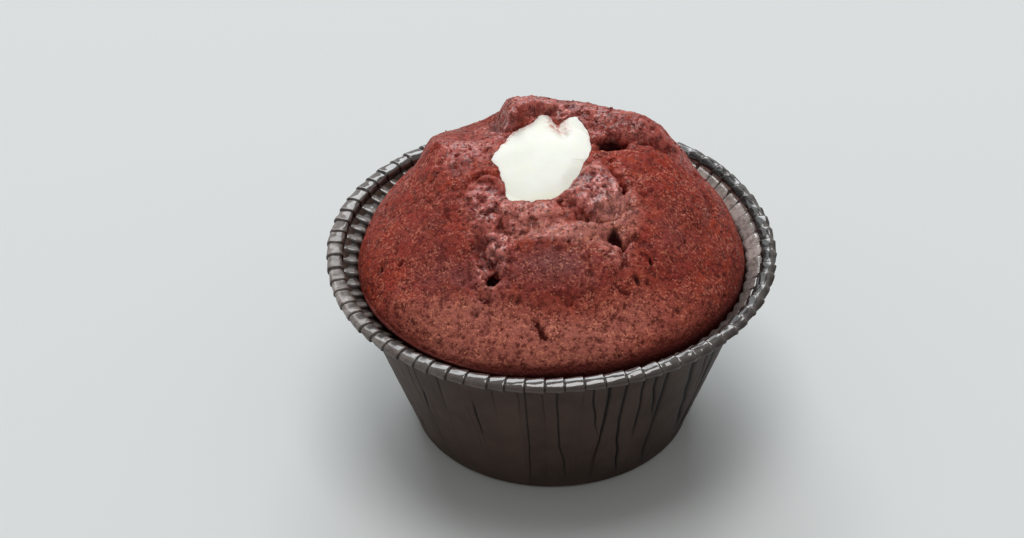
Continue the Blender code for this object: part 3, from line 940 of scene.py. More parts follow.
def cream_surface(sizes, columns, rings):
    """The plug's side and top, with low waves and a furrow, its stained edges and painted shade
    along its front edge.
    """
    azimuth = around(columns)
    side = socket_grid(azimuth, sizes, 0.75 * MM, CREAM_FLOOR, (0.95, 0.7, 0.4, 0.2, 0.1))
    top, inward = cream_top(azimuth, sizes, rings)
    grid = np.concatenate((side, top))
    on_top = smooth(len(side) + 3, len(side) + 12, np.arange(len(grid)))[:, None]
    waves = 0.16 * layered_noise(grid, 6.0 * MM, 2, 61)
    furrow, _ = route_distance(grid[..., 0], grid[..., 1], CREAM_FURROW)
    groove = bell(furrow, 1.0 * MM)
    grid[..., 2] += (waves * MM - 0.6 * MM * groove) * on_top
    stain = bell(furrow, 1.5 * MM) * smooth(7.6 * MM, 11.0 * MM, grid[..., 1])
    inward = np.concatenate((np.zeros((len(side), columns)), inward))
    edge = 1.0 - smooth(0.0, 1.1 * MM, inward)
    stain = np.maximum(stain, 0.6 * edge * (0.2 + sector(azimuth, 130.0, 0.45)))
    # painted shade along the front edge, where it curves down
    shaded_edge = (1.0 - smooth(0.0, 2.6 * MM, inward)) * sector(azimuth, 285.0, 0.9)
    return grid, {"stain": stain, "shaded_edge": shaded_edge}


# ---- case ------------------------------------------------------------------


def inside_profile():
    """Radius, height and zone from the inside floor up the wall and out over the flat flange."""
    heights = np.concatenate(((2.6, 10.0, 18.0), np.linspace(22.0, 31.4, 9))) * MM
    thick = (0.72 + 0.18 * smooth(22.0 * MM, 30.0 * MM, heights)) * MM
    stops = [(22.0 * MM, FLOOR_TOP, FLOOR_ZONE), (23.9 * MM, 1.1 * MM, FLOOR_ZONE)]
    stops += [(wall_radius(z) - gap, z, INNER_ZONE) for z, gap in zip(heights, thick)]
    stops += [(out * MM, up * MM, INNER_ZONE) for out, up in FLANGE]
    return stops


def roll_profile(count, power):
    """The roll from its inner side over the top to its underside.

    It is a superellipse, r = |cos|^p and z = |sin|^p, flatter for a low power.
    """
    half_width, half_height = ROLL_WIDTH / 2.0, ROLL_HEIGHT / 2.0
    centre = (RIM_RADIUS + 0.05 * MM - half_width, CASE_HEIGHT + 0.05 * MM - half_height)
    turns = np.radians(np.linspace(224.0, -128.0, count))
    across = np.sign(np.cos(turns)) * np.abs(np.cos(turns)) ** power
    up = np.sign(np.sin(turns)) * np.abs(np.sin(turns)) ** power
    points = zip(centre[0] + half_width * across, centre[1] + half_height * up)
    return [(radius, height, ROLL_ZONE) for radius, height in points]


def outside_profile():
    """Radius, height and zone down the outside wall and round the edge of the base."""
    heights = np.concatenate((np.linspace(33.0, 3.0, 36), (2.2, 1.4, 0.9))) * MM
    stops = [(wall_radius(z), z, OUTER_ZONE) for z in heights]
    stops += [(out * MM, up * MM, BASE_ZONE) for out, up in BASE_EDGE]
    return stops


def case_profile(power):
    """The whole profile of the paper, with a superellipse of the given power as its roll."""
    return np.array(inside_profile() + roll_profile(36, power) + outside_profile())


def crease_plan(pleats, rng):
    """Openness, start, end and drift of every slit of the wall.

    They are random and faint, stronger round the right side, with the front ones as named.
    """
    turned = np.degrees(np.arange(pleats) * TURN / pleats)
    side = bell((turned - 345.0 + 180.0) % 360.0 - 180.0, 26.0)
    open_share = (0.07 + 0.95 * side) * rng.uniform(0.6, 1.2, pleats)
    start = np.where(open_share < 0.4, rng.uniform(0.0, 0.5, pleats), 0.0)
    end = start + rng.uniform(0.25, 0.6, pleats) + 0.5 * side
    drift = np.cumsum(rng.normal(0.0, 0.14, (6, pleats)), axis=0)
    for pleat, openness, first, last, drifts in CREASES:
        open_share[pleat], start[pleat], end[pleat] = openness, first, last
        drift[:, pleat] = drifts
    return open_share, start, end, drift


def at_height(drift, level):
    """The drift of every slit of the wall at each level, eased between its six heights."""
    low = np.clip(np.floor(level * 5.0).astype(int), 0, 4)
    part = smooth(0.0, 1.0, level * 5.0 - low)[:, None]
    return drift[low] * (1.0 - part) + drift[low + 1] * part


def crinkle(index, part, along):
    """Dents of the stiff rim: each pleat reads its own stretch of noise n, with creases -2|n|."""
    parts = np.broadcast_arrays(index * 9.0 + part * 1.3, along[:, None] / (1.2 * MM), 0.0)
    place = np.stack(parts, -1)
    soft = value_noise(place, 1.0, 71) - 1.0
    sharp = -2.0 * np.abs(value_noise(place * (1.4, 1.3, 1.0), 1.0, 73))
    return 0.09 * soft + 0.11 * sharp


class PaperGrid:
    """The case as a grid: a row for each ring of the profile, some columns for each pleat.

    A row array times a column array gives a value for every point.
    """

    def __init__(self, sizes):
        rng = np.random.default_rng(SEED + 1)
        pleats = sizes.pleats
        self.radius, self.height, self.zone = case_profile(1.0).T
        self.inner = self.zone == INNER_ZONE
        self.roll = self.zone == ROLL_ZONE
        self.outer = self.zone == OUTER_ZONE
        self.roll_share = (np.arange(len(self.zone)) - np.argmax(self.roll)) / self.roll.sum()
        self.index = np.repeat(np.arange(pleats), len(PLEAT_SHARES))
        self.part = np.tile(PLEAT_SHARES, pleats)
        self.after = (self.index + 1) % pleats
        self.near = np.minimum(self.part, 1.0 - self.part)
        self.open_share, self.start, self.end, drift = crease_plan(pleats, rng)
        self.run_pleats(sizes, rng.uniform(-0.10, 0.10, pleats), drift)
        self.tilt = rng.uniform(0.7, 1.2, pleats)[self.index]
        self.lap = rng.uniform(0.5, 1.2, pleats)[self.index]
        self.ridge = rng.uniform(0.3, 0.7, pleats)[self.index]
        self.tone = rng.uniform(0.5, 1.0, pleats)[self.index]
        self.panel = rng.uniform(0.0, 1.0, pleats)[self.index]

    def run_pleats(self, sizes, uneven, drift):
        """Azimuth of every point: even pleats, uneven on the rim and drifting down the wall."""
        below = CASE_HEIGHT - 2.0 * MM - self.height
        down = np.clip(below / (CASE_HEIGHT - 3.5 * MM), 0.0, 1.0)
        self.level = down[:, None]
        self.wall_share = smooth(0.72, 0.98, self.roll_share)[:, None]
        moved = uneven * (1.0 - self.wall_share) + at_height(drift, down) * self.wall_share
        shift = moved[:, self.index] * (1.0 - self.part) + moved[:, self.after] * self.part
        places = self.index + self.part + shift
        self.azimuth = np.radians(sizes.pleat_turn) + TURN / sizes.pleats * places
        self.stretch = np.maximum(1.0 + moved[:, self.after] - moved[:, self.index], 0.4)
        self.front = np.clip(-np.sin(self.azimuth), 0.0, 1.0) ** 2
        self.right = 0.5 + 0.5 * np.cos(self.azimuth - np.radians(5.0))
        self.far_right = np.clip(np.cos(self.azimuth - np.radians(10.0)), 0.0, 1.0)

    def spot(self, centre, width):
        """A soft sector of the case: exp(-((a - c) / w)^2), in degrees round the axis."""
        return bell(np.degrees(self.azimuth) % 360.0 - centre, width)

    def on_roll(self, begin=None, end=None):
        """Rows of the roll, eased in over one pair of its shares and out over another."""
        rows = self.roll * 1.0
        if begin:
            rows = rows * smooth(*begin, self.roll_share)
        if end:
            rows = rows * (1.0 - smooth(*end, self.roll_share))
        return rows[:, None]

    def slits(self):
        """How deep the creases of the wall are: exp(-(d/w)^2) round each, between start and end."""
        owner = np.where(self.part > 0.5, self.after, self.index)
        open_share = self.open_share[owner]
        width = (0.03 + (0.06 + 0.14 * self.spot(330.0, 22.0)) * open_share**2) / self.stretch
        opened = smooth(-0.03, 0.05, self.level - self.start[owner])
        opened = opened * smooth(0.0, 0.22, self.end[owner] - self.level)
        return open_share * opened * bell(self.near, width)

    def seams(self):
        """Where one plate of the rim ends and the next begins: exp(-(d/w)^2)."""
        return bell(self.near, 0.028)

    def relief(self, slit):
        """Height over the swept profile: teeth inside, plates on the roll, creases outside."""
        part, inner, roll, outer = self.part, self.inner, self.roll, self.outer
        lift = np.zeros(self.azimuth.shape)
        tooth = np.where(part < 0.87, part / 0.87, (1.0 - part) / 0.13)
        deep = smooth(14.0 * MM, 30.0 * MM, self.height)[:, None]
        lift[inner] = ((tooth - 0.3) * 0.6 * MM * deep)[inner]
        stiff = 0.25 + 0.35 * np.abs(np.cos(self.azimuth)) + 0.5 * self.far_right
        along = np.cumsum(np.hypot(np.gradient(self.radius), np.gradient(self.height)))
        dents = crinkle(self.index, part, along) * stiff
        shingle = 0.32 * self.tilt * (part - 1.0) - 0.16 * self.seams() + dents
        lift[roll] = (shingle * smooth(0.0, 0.10, self.roll_share)[:, None] * MM)[roll]
        lap = self.lap * (0.02 + 0.20 * self.open_share[self.after] ** 2) * (part - 0.5)
        ridge = 0.035 * bell(part - self.ridge, 0.05)
        foot = 1.0 - smooth(0.85, 1.0, self.level)
        lift[outer] = ((lap + ridge - 0.30 * slit) * foot)[outer] * MM
        return lift

    def swept(self):
        """The profile swept round the axis, flatter at the left, with the rim's sags and bulges."""
        left = np.clip(-np.cos(self.azimuth), 0.0, 1.0)
        flat = left**3
        flat_radius, flat_height, _ = case_profile(0.72).T
        out = self.radius[:, None] * (1.0 - flat) + flat_radius[:, None] * flat
        up = self.height[:, None] * (1.0 - flat) + flat_height[:, None] * flat
        drop = read_round(self.azimuth, RIM_DROP)
        up = up - drop * smooth(28.0 * MM, 33.0 * MM, self.height)[:, None]
        shelf = self.inner * smooth(27.0 * MM, 31.5 * MM, self.height)
        shelf = (shelf * smooth(36.6 * MM, 35.4 * MM, self.radius))[:, None]
        out = out - 0.6 * MM * shelf * left
        bulge = self.spot(44.0, 15.0) * smooth(33.5 * MM, 37.0 * MM, self.radius)[:, None]
        out = out + 0.35 * MM * bulge
        up = up + 0.5 * MM * bulge
        crest = (self.roll * bell(self.roll_share - 0.38, 0.16))[:, None]
        out = out - 0.5 * MM * crest * self.front
        lip = (self.inner * smooth(35.2 * MM, 36.6 * MM, self.radius))[:, None]
        up = up + 0.5 * MM * lip * self.far_right
        return np.stack((out * np.cos(self.azimuth), out * np.sin(self.azimuth), up), -1)

    def surface(self, slit):
        """The swept profile moved along its normals by its relief and a fine crumple."""
        grid = self.swept()
        crumple = 0.05 * layered_noise(grid * (1.0, 1.0, 0.35), 1.9 * MM, 2, 71)
        crumple = crumple * (self.outer | self.inner)[:, None]
        lift = self.relief(slit) + crumple * MM
        return grid + grid_normals(grid, -1.0) * lift[..., None]

    def lit_seams(self):
        """Painted reflection: narrow pale lines between the dark cells of the rim's right side."""
        edge = bell(self.near, 0.03)
        return self.far_right * edge * self.on_roll((0.13, 0.16), (0.36, 0.42))

    def facets(self, lit_seam):
        """How pale the coated face shows, as painted reflection: one side of each slat, paler to
        the right, and the plates of the rim.
        """
        begin = 0.04 + 0.40 * (1.0 - self.right)
        slat = smooth(begin, begin + 0.10, self.part) * (1.0 - smooth(0.84, 0.92, self.part))
        facet_reflection = slat * self.tone * (0.36 + 0.64 * self.right)
        facet_reflection = facet_reflection * (1.0 - 0.8 * self.spot(232.0, 30.0)) * (1.0 - 0.85 * self.spot(327.0, 25.0))
        climb = self.on_roll(end=(0.12, 0.16)) * self.far_right
        flange = smooth(31.6 * MM, 32.4 * MM, self.height)[:, None] * self.inner[:, None]
        facet_reflection = np.maximum(facet_reflection * np.maximum(flange, climb), 0.9 * lit_seam)
        beyond = smooth(0.30, 0.36, self.roll_share)[:, None]
        fading = 1.0 - 0.6 * smooth(0.46, 0.62, self.roll_share)[:, None]
        plates = self.spot(*MATT_LEFT) * (0.16 + 0.36 * beyond)
        plates = plates + 0.15 * self.far_right * beyond * fading
        plates = plates * self.tone * self.on_roll((0.09, 0.14), (0.60, 0.70))
        return np.maximum(facet_reflection, plates)

    def dark_cells(self):
        """Painted shade and dark reflection in the rim's plates: scalloped at the right, ovals at
        the lower left, the outer half at the far right.
        """
        rows = self.roll_share[:, None]
        scallop = 0.29 + 0.12 * np.sin(np.pi * self.part)
        cell = 1.2 * self.far_right * smooth(0.13, 0.17, rows)
        cell = cell * (1.0 - smooth(scallop, scallop + 0.03, rows))
        oval = bell(self.part - 0.36, 0.24, 4) * bell(rows - 0.33, 0.08, 4)
        cell = np.maximum(cell, 1.1 * self.spot(*OVALS_LEFT) * oval)
        low = self.far_right * bell(self.part - 0.5, 0.36, 4)
        cell = np.maximum(cell, 0.75 * low * self.on_roll((0.42, 0.48), (0.70, 0.80)))
        return np.clip((0.45 + 0.6 * self.tone) * cell, 0.0, 0.92)

    def shade(self, slit, lit_seam):
        """Painted shade of the paper: in the creases outside, along seams, cells and under the lip
        of the roll, and in the folds inside.
        """
        # painted shade under the roll's lip
        under_lip = 1.0 - smooth(0.02, 0.08, self.roll_share)[:, None]
        under_lip = under_lip * (1.0 - 0.9 * self.far_right)
        dark = np.maximum(0.9 * self.seams()[None, :], np.maximum(under_lip, self.dark_cells()))
        # painted shade in the open creases of the outside wall
        shade = np.where(self.outer[:, None], np.clip(1.9 * slit, 0.0, 1.0), 0.0)
        shade = np.where(self.roll[:, None], dark * (1.0 - 0.9 * lit_seam), shade)
        # painted shade in the folds of the inside wall
        return np.where(self.inner[:, None], bell(self.near, 0.05)[None, :], shade)

    def coated(self):
        """Where the glossy coating shows: inside and over the roll, but for its matt stretches."""
        bare = 0.72 * self.spot(*MATT_LEFT) * self.roll[:, None]
        outer_half = self.on_roll((0.48, 0.58))
        bare = bare + np.maximum(0.85 * self.far_right, 0.6 * self.front) * outer_half
        glossy = (self.zone[:, None] <= ROLL_ZONE) * (1.0 - self.wall_share)
        return glossy * (1.0 - np.clip(bare, 0.0, 1.0))

    def panels(self):
        """Darker panels of the outside wall at random, and the whole wall darker towards the right.
        """
        towards_right = smooth(275.0, 325.0, np.degrees(self.azimuth) % 360.0)
        panel = 0.6 * self.panel + 1.2 * towards_right
        return np.clip(panel, 0.0, 1.0) * self.outer[:, None]

    def fields(self, slit):
        """The masks that the paper's material reads."""
        lit_seam = self.lit_seams()
        return {
            "coated": self.coated(),
            "paper_shade": self.shade(slit, lit_seam),
            "facet_reflection": self.facets(lit_seam),
            "panel": self.panels(),
        }


# ---- shader groups ---------------------------------------------------------


def new_group(name, inputs, outputs):
    """A shader node group with named number and colour sockets."""
    group = bpy.data.node_groups.new(name, "ShaderNodeTree")
    for label, kind, value in inputs:
        socket = group.interface.new_socket(name=label, in_out="INPUT", socket_type=kind)
        socket.default_value = value
    for label, kind in outputs:
        group.interface.new_socket(name=label, in_out="OUTPUT", socket_type=kind)
    entry = group.nodes.new("NodeGroupInput")
    leave = group.nodes.new("NodeGroupOutput")
    return group, entry, leave


def feed(tree, socket, value):
    """Links an output to a socket, or sets a number or a colour of three numbers on it."""
    if isinstance(value, bpy.types.NodeSocket):
        tree.links.new(value, socket)
    else:
        socket.default_value = value if isinstance(value, (int, float)) else (*value, 1.0)


def math_node(tree, operation, first, second, clamp=False):
    """A Math node whose operands are numbers or sockets; returns its output."""
    node = tree.nodes.new("ShaderNodeMath")
    node.operation = operation
    node.use_clamp = clamp
    feed(tree, node.inputs[0], first)
    feed(tree, node.inputs[1], second)
    return node.outputs[0]


def times(tree, first, second, clamp=False):
    """The product of two numbers or sockets."""
    return math_node(tree, "MULTIPLY", first, second, clamp)


def plus(tree, first, second):
    """The sum of two numbers or sockets."""
    return math_node(tree, "ADD", first, second)


def minus(tree, first, second, clamp=False):
    """The difference of two numbers or sockets."""
    return math_node(tree, "SUBTRACT", first, second, clamp)


def larger(tree, first, second):
    """The larger of two numbers or sockets."""
    return math_node(tree, "MAXIMUM", first, second)


def mix_colour(tree, factor, first, second):
    """A colour Mix node; each colour is three numbers or a socket."""
    node = tree.nodes.new("ShaderNodeMix")
    node.data_type = "RGBA"
    feed(tree, node.inputs["Factor"], factor)
    feed(tree, node.inputs[6], first)
    feed(tree, node.inputs[7], second)
    return node.outputs[2]


def ramp(tree, value, low, high):
    """A number carried from low..high to 0..1 by an S-curve."""
    node = tree.nodes.new("ShaderNodeMapRange")
    node.interpolation_type = "SMOOTHSTEP"
    node.inputs["From Min"].default_value = low
    node.inputs["From Max"].default_value = high
    tree.links.new(value, node.inputs["Value"])
    return node.outputs["Result"]


def noise(tree, vector, scale, detail=3.0, roughness=0.6):
    """A Noise Texture's number at a place, with its scale in cells for each metre."""
    node = tree.nodes.new("ShaderNodeTexNoise")
    node.inputs["Scale"].default_value = scale
    node.inputs["Detail"].default_value = detail
    node.inputs["Roughness"].default_value = roughness
    tree.links.new(vector, node.inputs["Vector"])
    return node.outputs["Fac"]


def cells(tree, vector, scale):
    """Distance to the nearest cell's middle, and one random tone for each cell."""
    node = tree.nodes.new("ShaderNodeTexVoronoi")
    node.inputs["Scale"].default_value = scale
    tree.links.new(vector, node.inputs["Vector"])
    parts = tree.nodes.new("ShaderNodeSeparateColor")
    tree.links.new(node.outputs["Color"], parts.inputs[0])
    return node.outputs["Distance"], parts.outputs[0]


def grain_group():
    """Fine grain as a height, a light mask and a dark mask.

    The light mask, painted highlight, is the tops of fine noise where broader noise gathers them,
    and small bright cells as glints. The dark mask, painted shade and mottle, is the bottoms of two
    coarser noises.
    """
    outputs = [(label, "NodeSocketFloat") for label in ("Height", "Light", "Dark")]
    inputs = (("Vector", "NodeSocketVector", (0.0, 0.0, 0.0)),)
    group, entry, leave = new_group("fine_grain", inputs, outputs)
    vector = entry.outputs["Vector"]
    fine = noise(group, vector, 2100.0, 2.0)
    coarse = noise(group, vector, 1100.0, roughness=0.65)
    mottle = noise(group, vector, 620.0, roughness=0.65)
    cluster = ramp(group, noise(group, vector, 300.0), 0.38, 0.62)
    small, tones = cells(group, vector, 2500.0)
    # painted glints: small bright cells
    glint = times(group, ramp(group, small, 0.50, 0.20), ramp(group, tones, 0.78, 0.92))
    light = larger(group, times(group, ramp(group, fine, 0.53, 0.62), cluster), glint)
    dark = larger(group, ramp(group, coarse, 0.485, 0.37), ramp(group, mottle, 0.49, 0.36))
    group.links.new(plus(group, times(group, fine, 0.35), coarse), leave.inputs["Height"])
    group.links.new(light, leave.inputs["Light"])
    group.links.new(dark, leave.inputs["Dark"])
    return group


def use_group(tree, group, vector):
    """A node group placed in a material; returns its outputs."""
    node = tree.nodes.new("ShaderNodeGroup")
    node.node_tree = group
    tree.links.new(vector, node.inputs["Vector"])
    return node.outputs


# ---- materials -------------------------------------------------------------


def new_material(name, roughness, **sockets):
    """A material with constant values set on its Principled shader, with its tree and shader."""
    material = bpy.data.materials.new(name)
    material.use_nodes = True
    tree = material.node_tree
    shader = tree.nodes["Principled BSDF"]
    shader.inputs["Roughness"].default_value = roughness
    for label, value in sockets.items():
        shader.inputs[label.replace("_", " ")].default_value = value
    return material, tree, shader


def object_vector(tree):
    """The place on the piece, in metres."""
    return tree.nodes.new("ShaderNodeTexCoord").outputs["Object"]


def field(tree, name):
    """The number that a piece stores for each vertex under a name."""
    node = tree.nodes.new("ShaderNodeAttribute")
    node.attribute_name = name
    return node.outputs["Fac"]


def add_bump(tree, shader, height, distance, strength=1.0):
    """Fine relief of a finish, too small to be geometry."""
    node = tree.nodes.new("ShaderNodeBump")
    node.inputs["Strength"].default_value = strength
    node.inputs["Distance"].default_value = distance
    tree.links.new(height, node.inputs["Height"])
    tree.links.new(node.outputs["Normal"], shader.inputs["Normal"])


def crust_colour(tree, colours, vector, fields):
    """The dry crust: three reds in patches, then its paler parts, painted light on the front flank
    among them, and its dusky parts.
    """
    patches = ramp(tree, noise(tree, vector, 90.0, 4.0), 0.38, 0.62)
    blotch = ramp(tree, noise(tree, vector, 330.0), 0.48, 0.70)
    colour = mix_colour(tree, patches, colours.crust, colours.crust_brown)
    colour = mix_colour(tree, blotch, colour, colours.crust_warm)
    pale_and_lit = times(tree, fields["pale_and_lit"], 0.85)
    colour = mix_colour(tree, pale_and_lit, colour, colours.crust_pale_and_lit)
    dusky = times(tree, fields["dusky"], 0.75)
    return mix_colour(tree, dusky, colour, colours.crust_dusky)


def torn_colour(tree, colours, vector, fields, colour):
    """Moist crumb over the crust where it is torn: painted highlight on its ridges and shade in its
    hollows, paler with glints in pale parts.
    """
    broken = times(tree, noise(tree, vector, 900.0), 0.9)
    broken = plus(tree, broken, times(tree, fields["shreds"], 0.7))
    # painted highlight on the torn crumb's ridges and painted shade in its hollows
    ridge = ramp(tree, broken, 0.62, 1.08)
    moist = mix_colour(tree, ridge, colours.torn_hollow_shade, colours.torn_ridge_highlight)
    colour = mix_colour(tree, times(tree, fields["torn"], 0.9), colour, moist)
    # paler torn crumb in the pale parts, partly painted glints
    pale_and_glint = times(tree, times(tree, fields["pale_and_lit"], fields["torn"]), 0.6)
    return mix_colour(tree, pale_and_glint, colour, colours.crust_pale_and_glint)


def crumb_colour(tree, colours, speck, fields):
    """Crust and torn crumb with their grain, painted shade in the folds and along the front edge,
    darkest in the holes and pits.
    """
    vector = object_vector(tree)
    colour = crust_colour(tree, colours, vector, fields)
    colour = torn_colour(tree, colours, vector, fields, colour)
    # painted shade in the grain's hollows, with a random mottle
    colour = mix_colour(tree, times(tree, speck["Dark"], 0.74), colour, colours.grain_and_fold_shade)
    share = plus(tree, times(tree, fields["pale_and_lit"], 0.42), 0.50)
    light = times(tree, speck["Light"], share)
    # painted highlight on the grain's tops, and painted glints
    colour = mix_colour(tree, light, colour, colours.grain_highlight)
    whole = minus(tree, 0.85, times(tree, fields["torn"], 0.55))
    # painted shade in the valleys and over the outer edge
    folded = times(tree, ramp(tree, fields["valley"], 0.15, 0.75), whole)
    colour = mix_colour(tree, folded, colour, colours.grain_and_fold_shade)
    # the darkest painted shade, in the holes, the pits and at the front edge
    return mix_colour(tree, ramp(tree, fields["hollow"], 0.10, 0.80), colour, colours.painted_hole_shade)


def crumb_material(colours, grain):
    """Red crust with moist fine grain, painted shade in its folds and holes, pinker and wetter
    where it is torn.
    """
    constants = {"Specular_IOR_Level": 0.13, "Coat_Roughness": 0.09}
    material, tree, shader = new_material("red_crumb", 0.5, **constants)
    vector = object_vector(tree)
    speck = use_group(tree, grain, vector)
    names = ("torn", "shreds", "hollow", "valley", "pale_and_lit", "dusky")
    fields = {name: field(tree, name) for name in names}
    torn = fields["torn"]
    tree.links.new(crumb_colour(tree, colours, speck, fields), shader.inputs["Base Color"])
    open_air = minus(tree, 1.0, fields["hollow"], clamp=True)
    wet = plus(tree, times(tree, torn, 0.9), times(tree, speck["Light"], 0.20))
    tree.links.new(times(tree, wet, open_air, clamp=True), shader.inputs["Coat Weight"])
    rough = minus(tree, 0.56, times(tree, speck["Light"], 0.20))
    rough = minus(tree, rough, times(tree, torn, 0.16))
    tree.links.new(rough, shader.inputs["Roughness"])
    wrinkle = times(tree, noise(tree, vector, 620.0, roughness=0.55), torn)
    height = plus(tree, speck["Height"], times(tree, wrinkle, 2.6))
    add_bump(tree, shader, height, 0.45 * MM)
    return material


def cream_material(colours):
    """Smooth soft white cream, with painted shade along its front edge, and pinked where crumb has
    smeared on it.
    """
    material, tree, shader = new_material("white_cream", 0.38, Subsurface_Weight=0.35)
    shader.inputs["Subsurface Radius"].default_value = (1.0, 0.9, 0.6)
    shader.inputs["Subsurface Scale"].default_value = 1.2 * MM
    vector = object_vector(tree)
    soft = ramp(tree, noise(tree, vector, 220.0, 2.0, 0.5), 0.35, 0.7)
    colour = mix_colour(tree, soft, colours.cream, colours.cream_shade)
    # painted shade along the front edge
    shaded_edge = times(tree, field(tree, "shaded_edge"), 0.8)
    colour = mix_colour(tree, shaded_edge, colour, colours.cream_shaded_edge)
    stain = field(tree, "stain")
    colour = mix_colour(tree, times(tree, stain, 0.55), colour, colours.smear_pale)
    streaks = ramp(tree, noise(tree, vector, 1300.0), 0.44, 0.60)
    colour = mix_colour(tree, times(tree, stain, streaks), colour, colours.smear)
    tree.links.new(colour, shader.inputs["Base Color"])
    add_bump(tree, shader, noise(tree, vector, 700.0, 2.0, 0.5), 0.05 * MM, 0.5)
    return material


def paper_colour(tree, colours, vector, coated, paper_shade):
    """Two browns outside, a darker coated face with pale facets of painted reflection, and near
    black painted shade in the creases.
    """
    broad = ramp(tree, noise(tree, vector, 120.0), 0.3, 0.7)
    shade = plus(tree, times(tree, broad, 0.55), times(tree, field(tree, "panel"), 0.45))
    outside = mix_colour(tree, shade, colours.paper, colours.paper_dark)
    colour = mix_colour(tree, coated, outside, colours.coating)
    mottle = ramp(tree, noise(tree, vector, 950.0, roughness=0.65), 0.36, 0.62)
    pale = plus(tree, times(tree, mottle, 0.7), 0.65)
    pale = times(tree, field(tree, "facet_reflection"), pale, clamp=True)
    # painted reflection on the pale facets
    colour = mix_colour(tree, pale, colour, colours.coating_reflection)
    # painted shade in the creases, seams, cells and folds
    return mix_colour(tree, times(tree, paper_shade, 0.97), colour, colours.paper_shade)


def paper_material(colours):
    """Dark brown paper: matt outside, glossy where the coated face shows inside and on the rim."""
    constants = {"Specular_IOR_Level": 0.25, "Coat_Roughness": 0.08, "Coat_IOR": 1.95}
    material, tree, shader = new_material("brown_paper", 0.5, **constants)
    vector = object_vector(tree)
    coated, paper_shade = field(tree, "coated"), field(tree, "paper_shade")
    colour = paper_colour(tree, colours, vector, coated, paper_shade)
    tree.links.new(colour, shader.inputs["Base Color"])
    fibre = noise(tree, vector, 1500.0)
    rough = minus(tree, 0.56, times(tree, coated, 0.10))
    rough = plus(tree, rough, times(tree, fibre, 0.08))
    tree.links.new(rough, shader.inputs["Roughness"])
    gloss = minus(tree, times(tree, coated, 0.95), times(tree, paper_shade, 0.9), clamp=True)
    tree.links.new(gloss, shader.inputs["Coat Weight"])
    dents = times(tree, noise(tree, vector, 1500.0, 2.0), coated)
    add_bump(tree, shader, plus(tree, dents, times(tree, fibre, 0.15)), 0.12 * MM)
    return material


def stage_material(colours):
    """Plain pale floor."""
    material, _, shader = new_material("pale_floor", 0.9, Specular_IOR_Level=0.15)
    shader.inputs["Base Color"].default_value = (*colours.floor, 1.0)
    return material


# ---- settings --------------------------------------------------------------


def number(name, value, description, **options):
    """A setting that is a plain number, or an angle where its subtype says so."""
    settings = {"name": name, "default": value, "description": description}
    return bpy.props.FloatProperty(**settings, **options)


def length(name, value, description):
    """A setting in metres, which Blender shows in the scene's units."""
    return number(name, value, description, unit="LENGTH", subtype="DISTANCE", precision=4)


def colour(name, value, description):
    """A setting that is a colour, as linear RGB from 0 to 1."""
    settings = {"name": name, "default": value, "description": description}
    return bpy.props.FloatVectorProperty(subtype="COLOR", size=3, min=0.0, max=1.0, **settings)


class MuffinSizes(bpy.types.PropertyGroup):
    """Sizes of the crumb and the case."""

    equator_radius: length("Crumb radius", CRUMB_RADIUS, "Radius of the crumb at its widest")
    equator_height: length("Widest height", 32.8 * MM, "Height of the crumb's widest ring")
    crown_rise: length("Crown rise", 19.4 * MM, "Rise of the plain dome above its widest ring")
    crown_tilt: number("Crown tilt", 0.17, "Slope of the crown to the back")
    shoulder: number("Shoulder", 2.9, "Inner power of the dome's profile")
    flank: number("Flank", 0.80, "Outer power of the dome's profile")
    pleats: bpy.props.IntProperty(
        name="Pleats", default=72, description="Number of pleats round the case"
    )
    pleat_turn: number("Pleat turn", 3.5, "Azimuth in degrees of one pleat's groove")


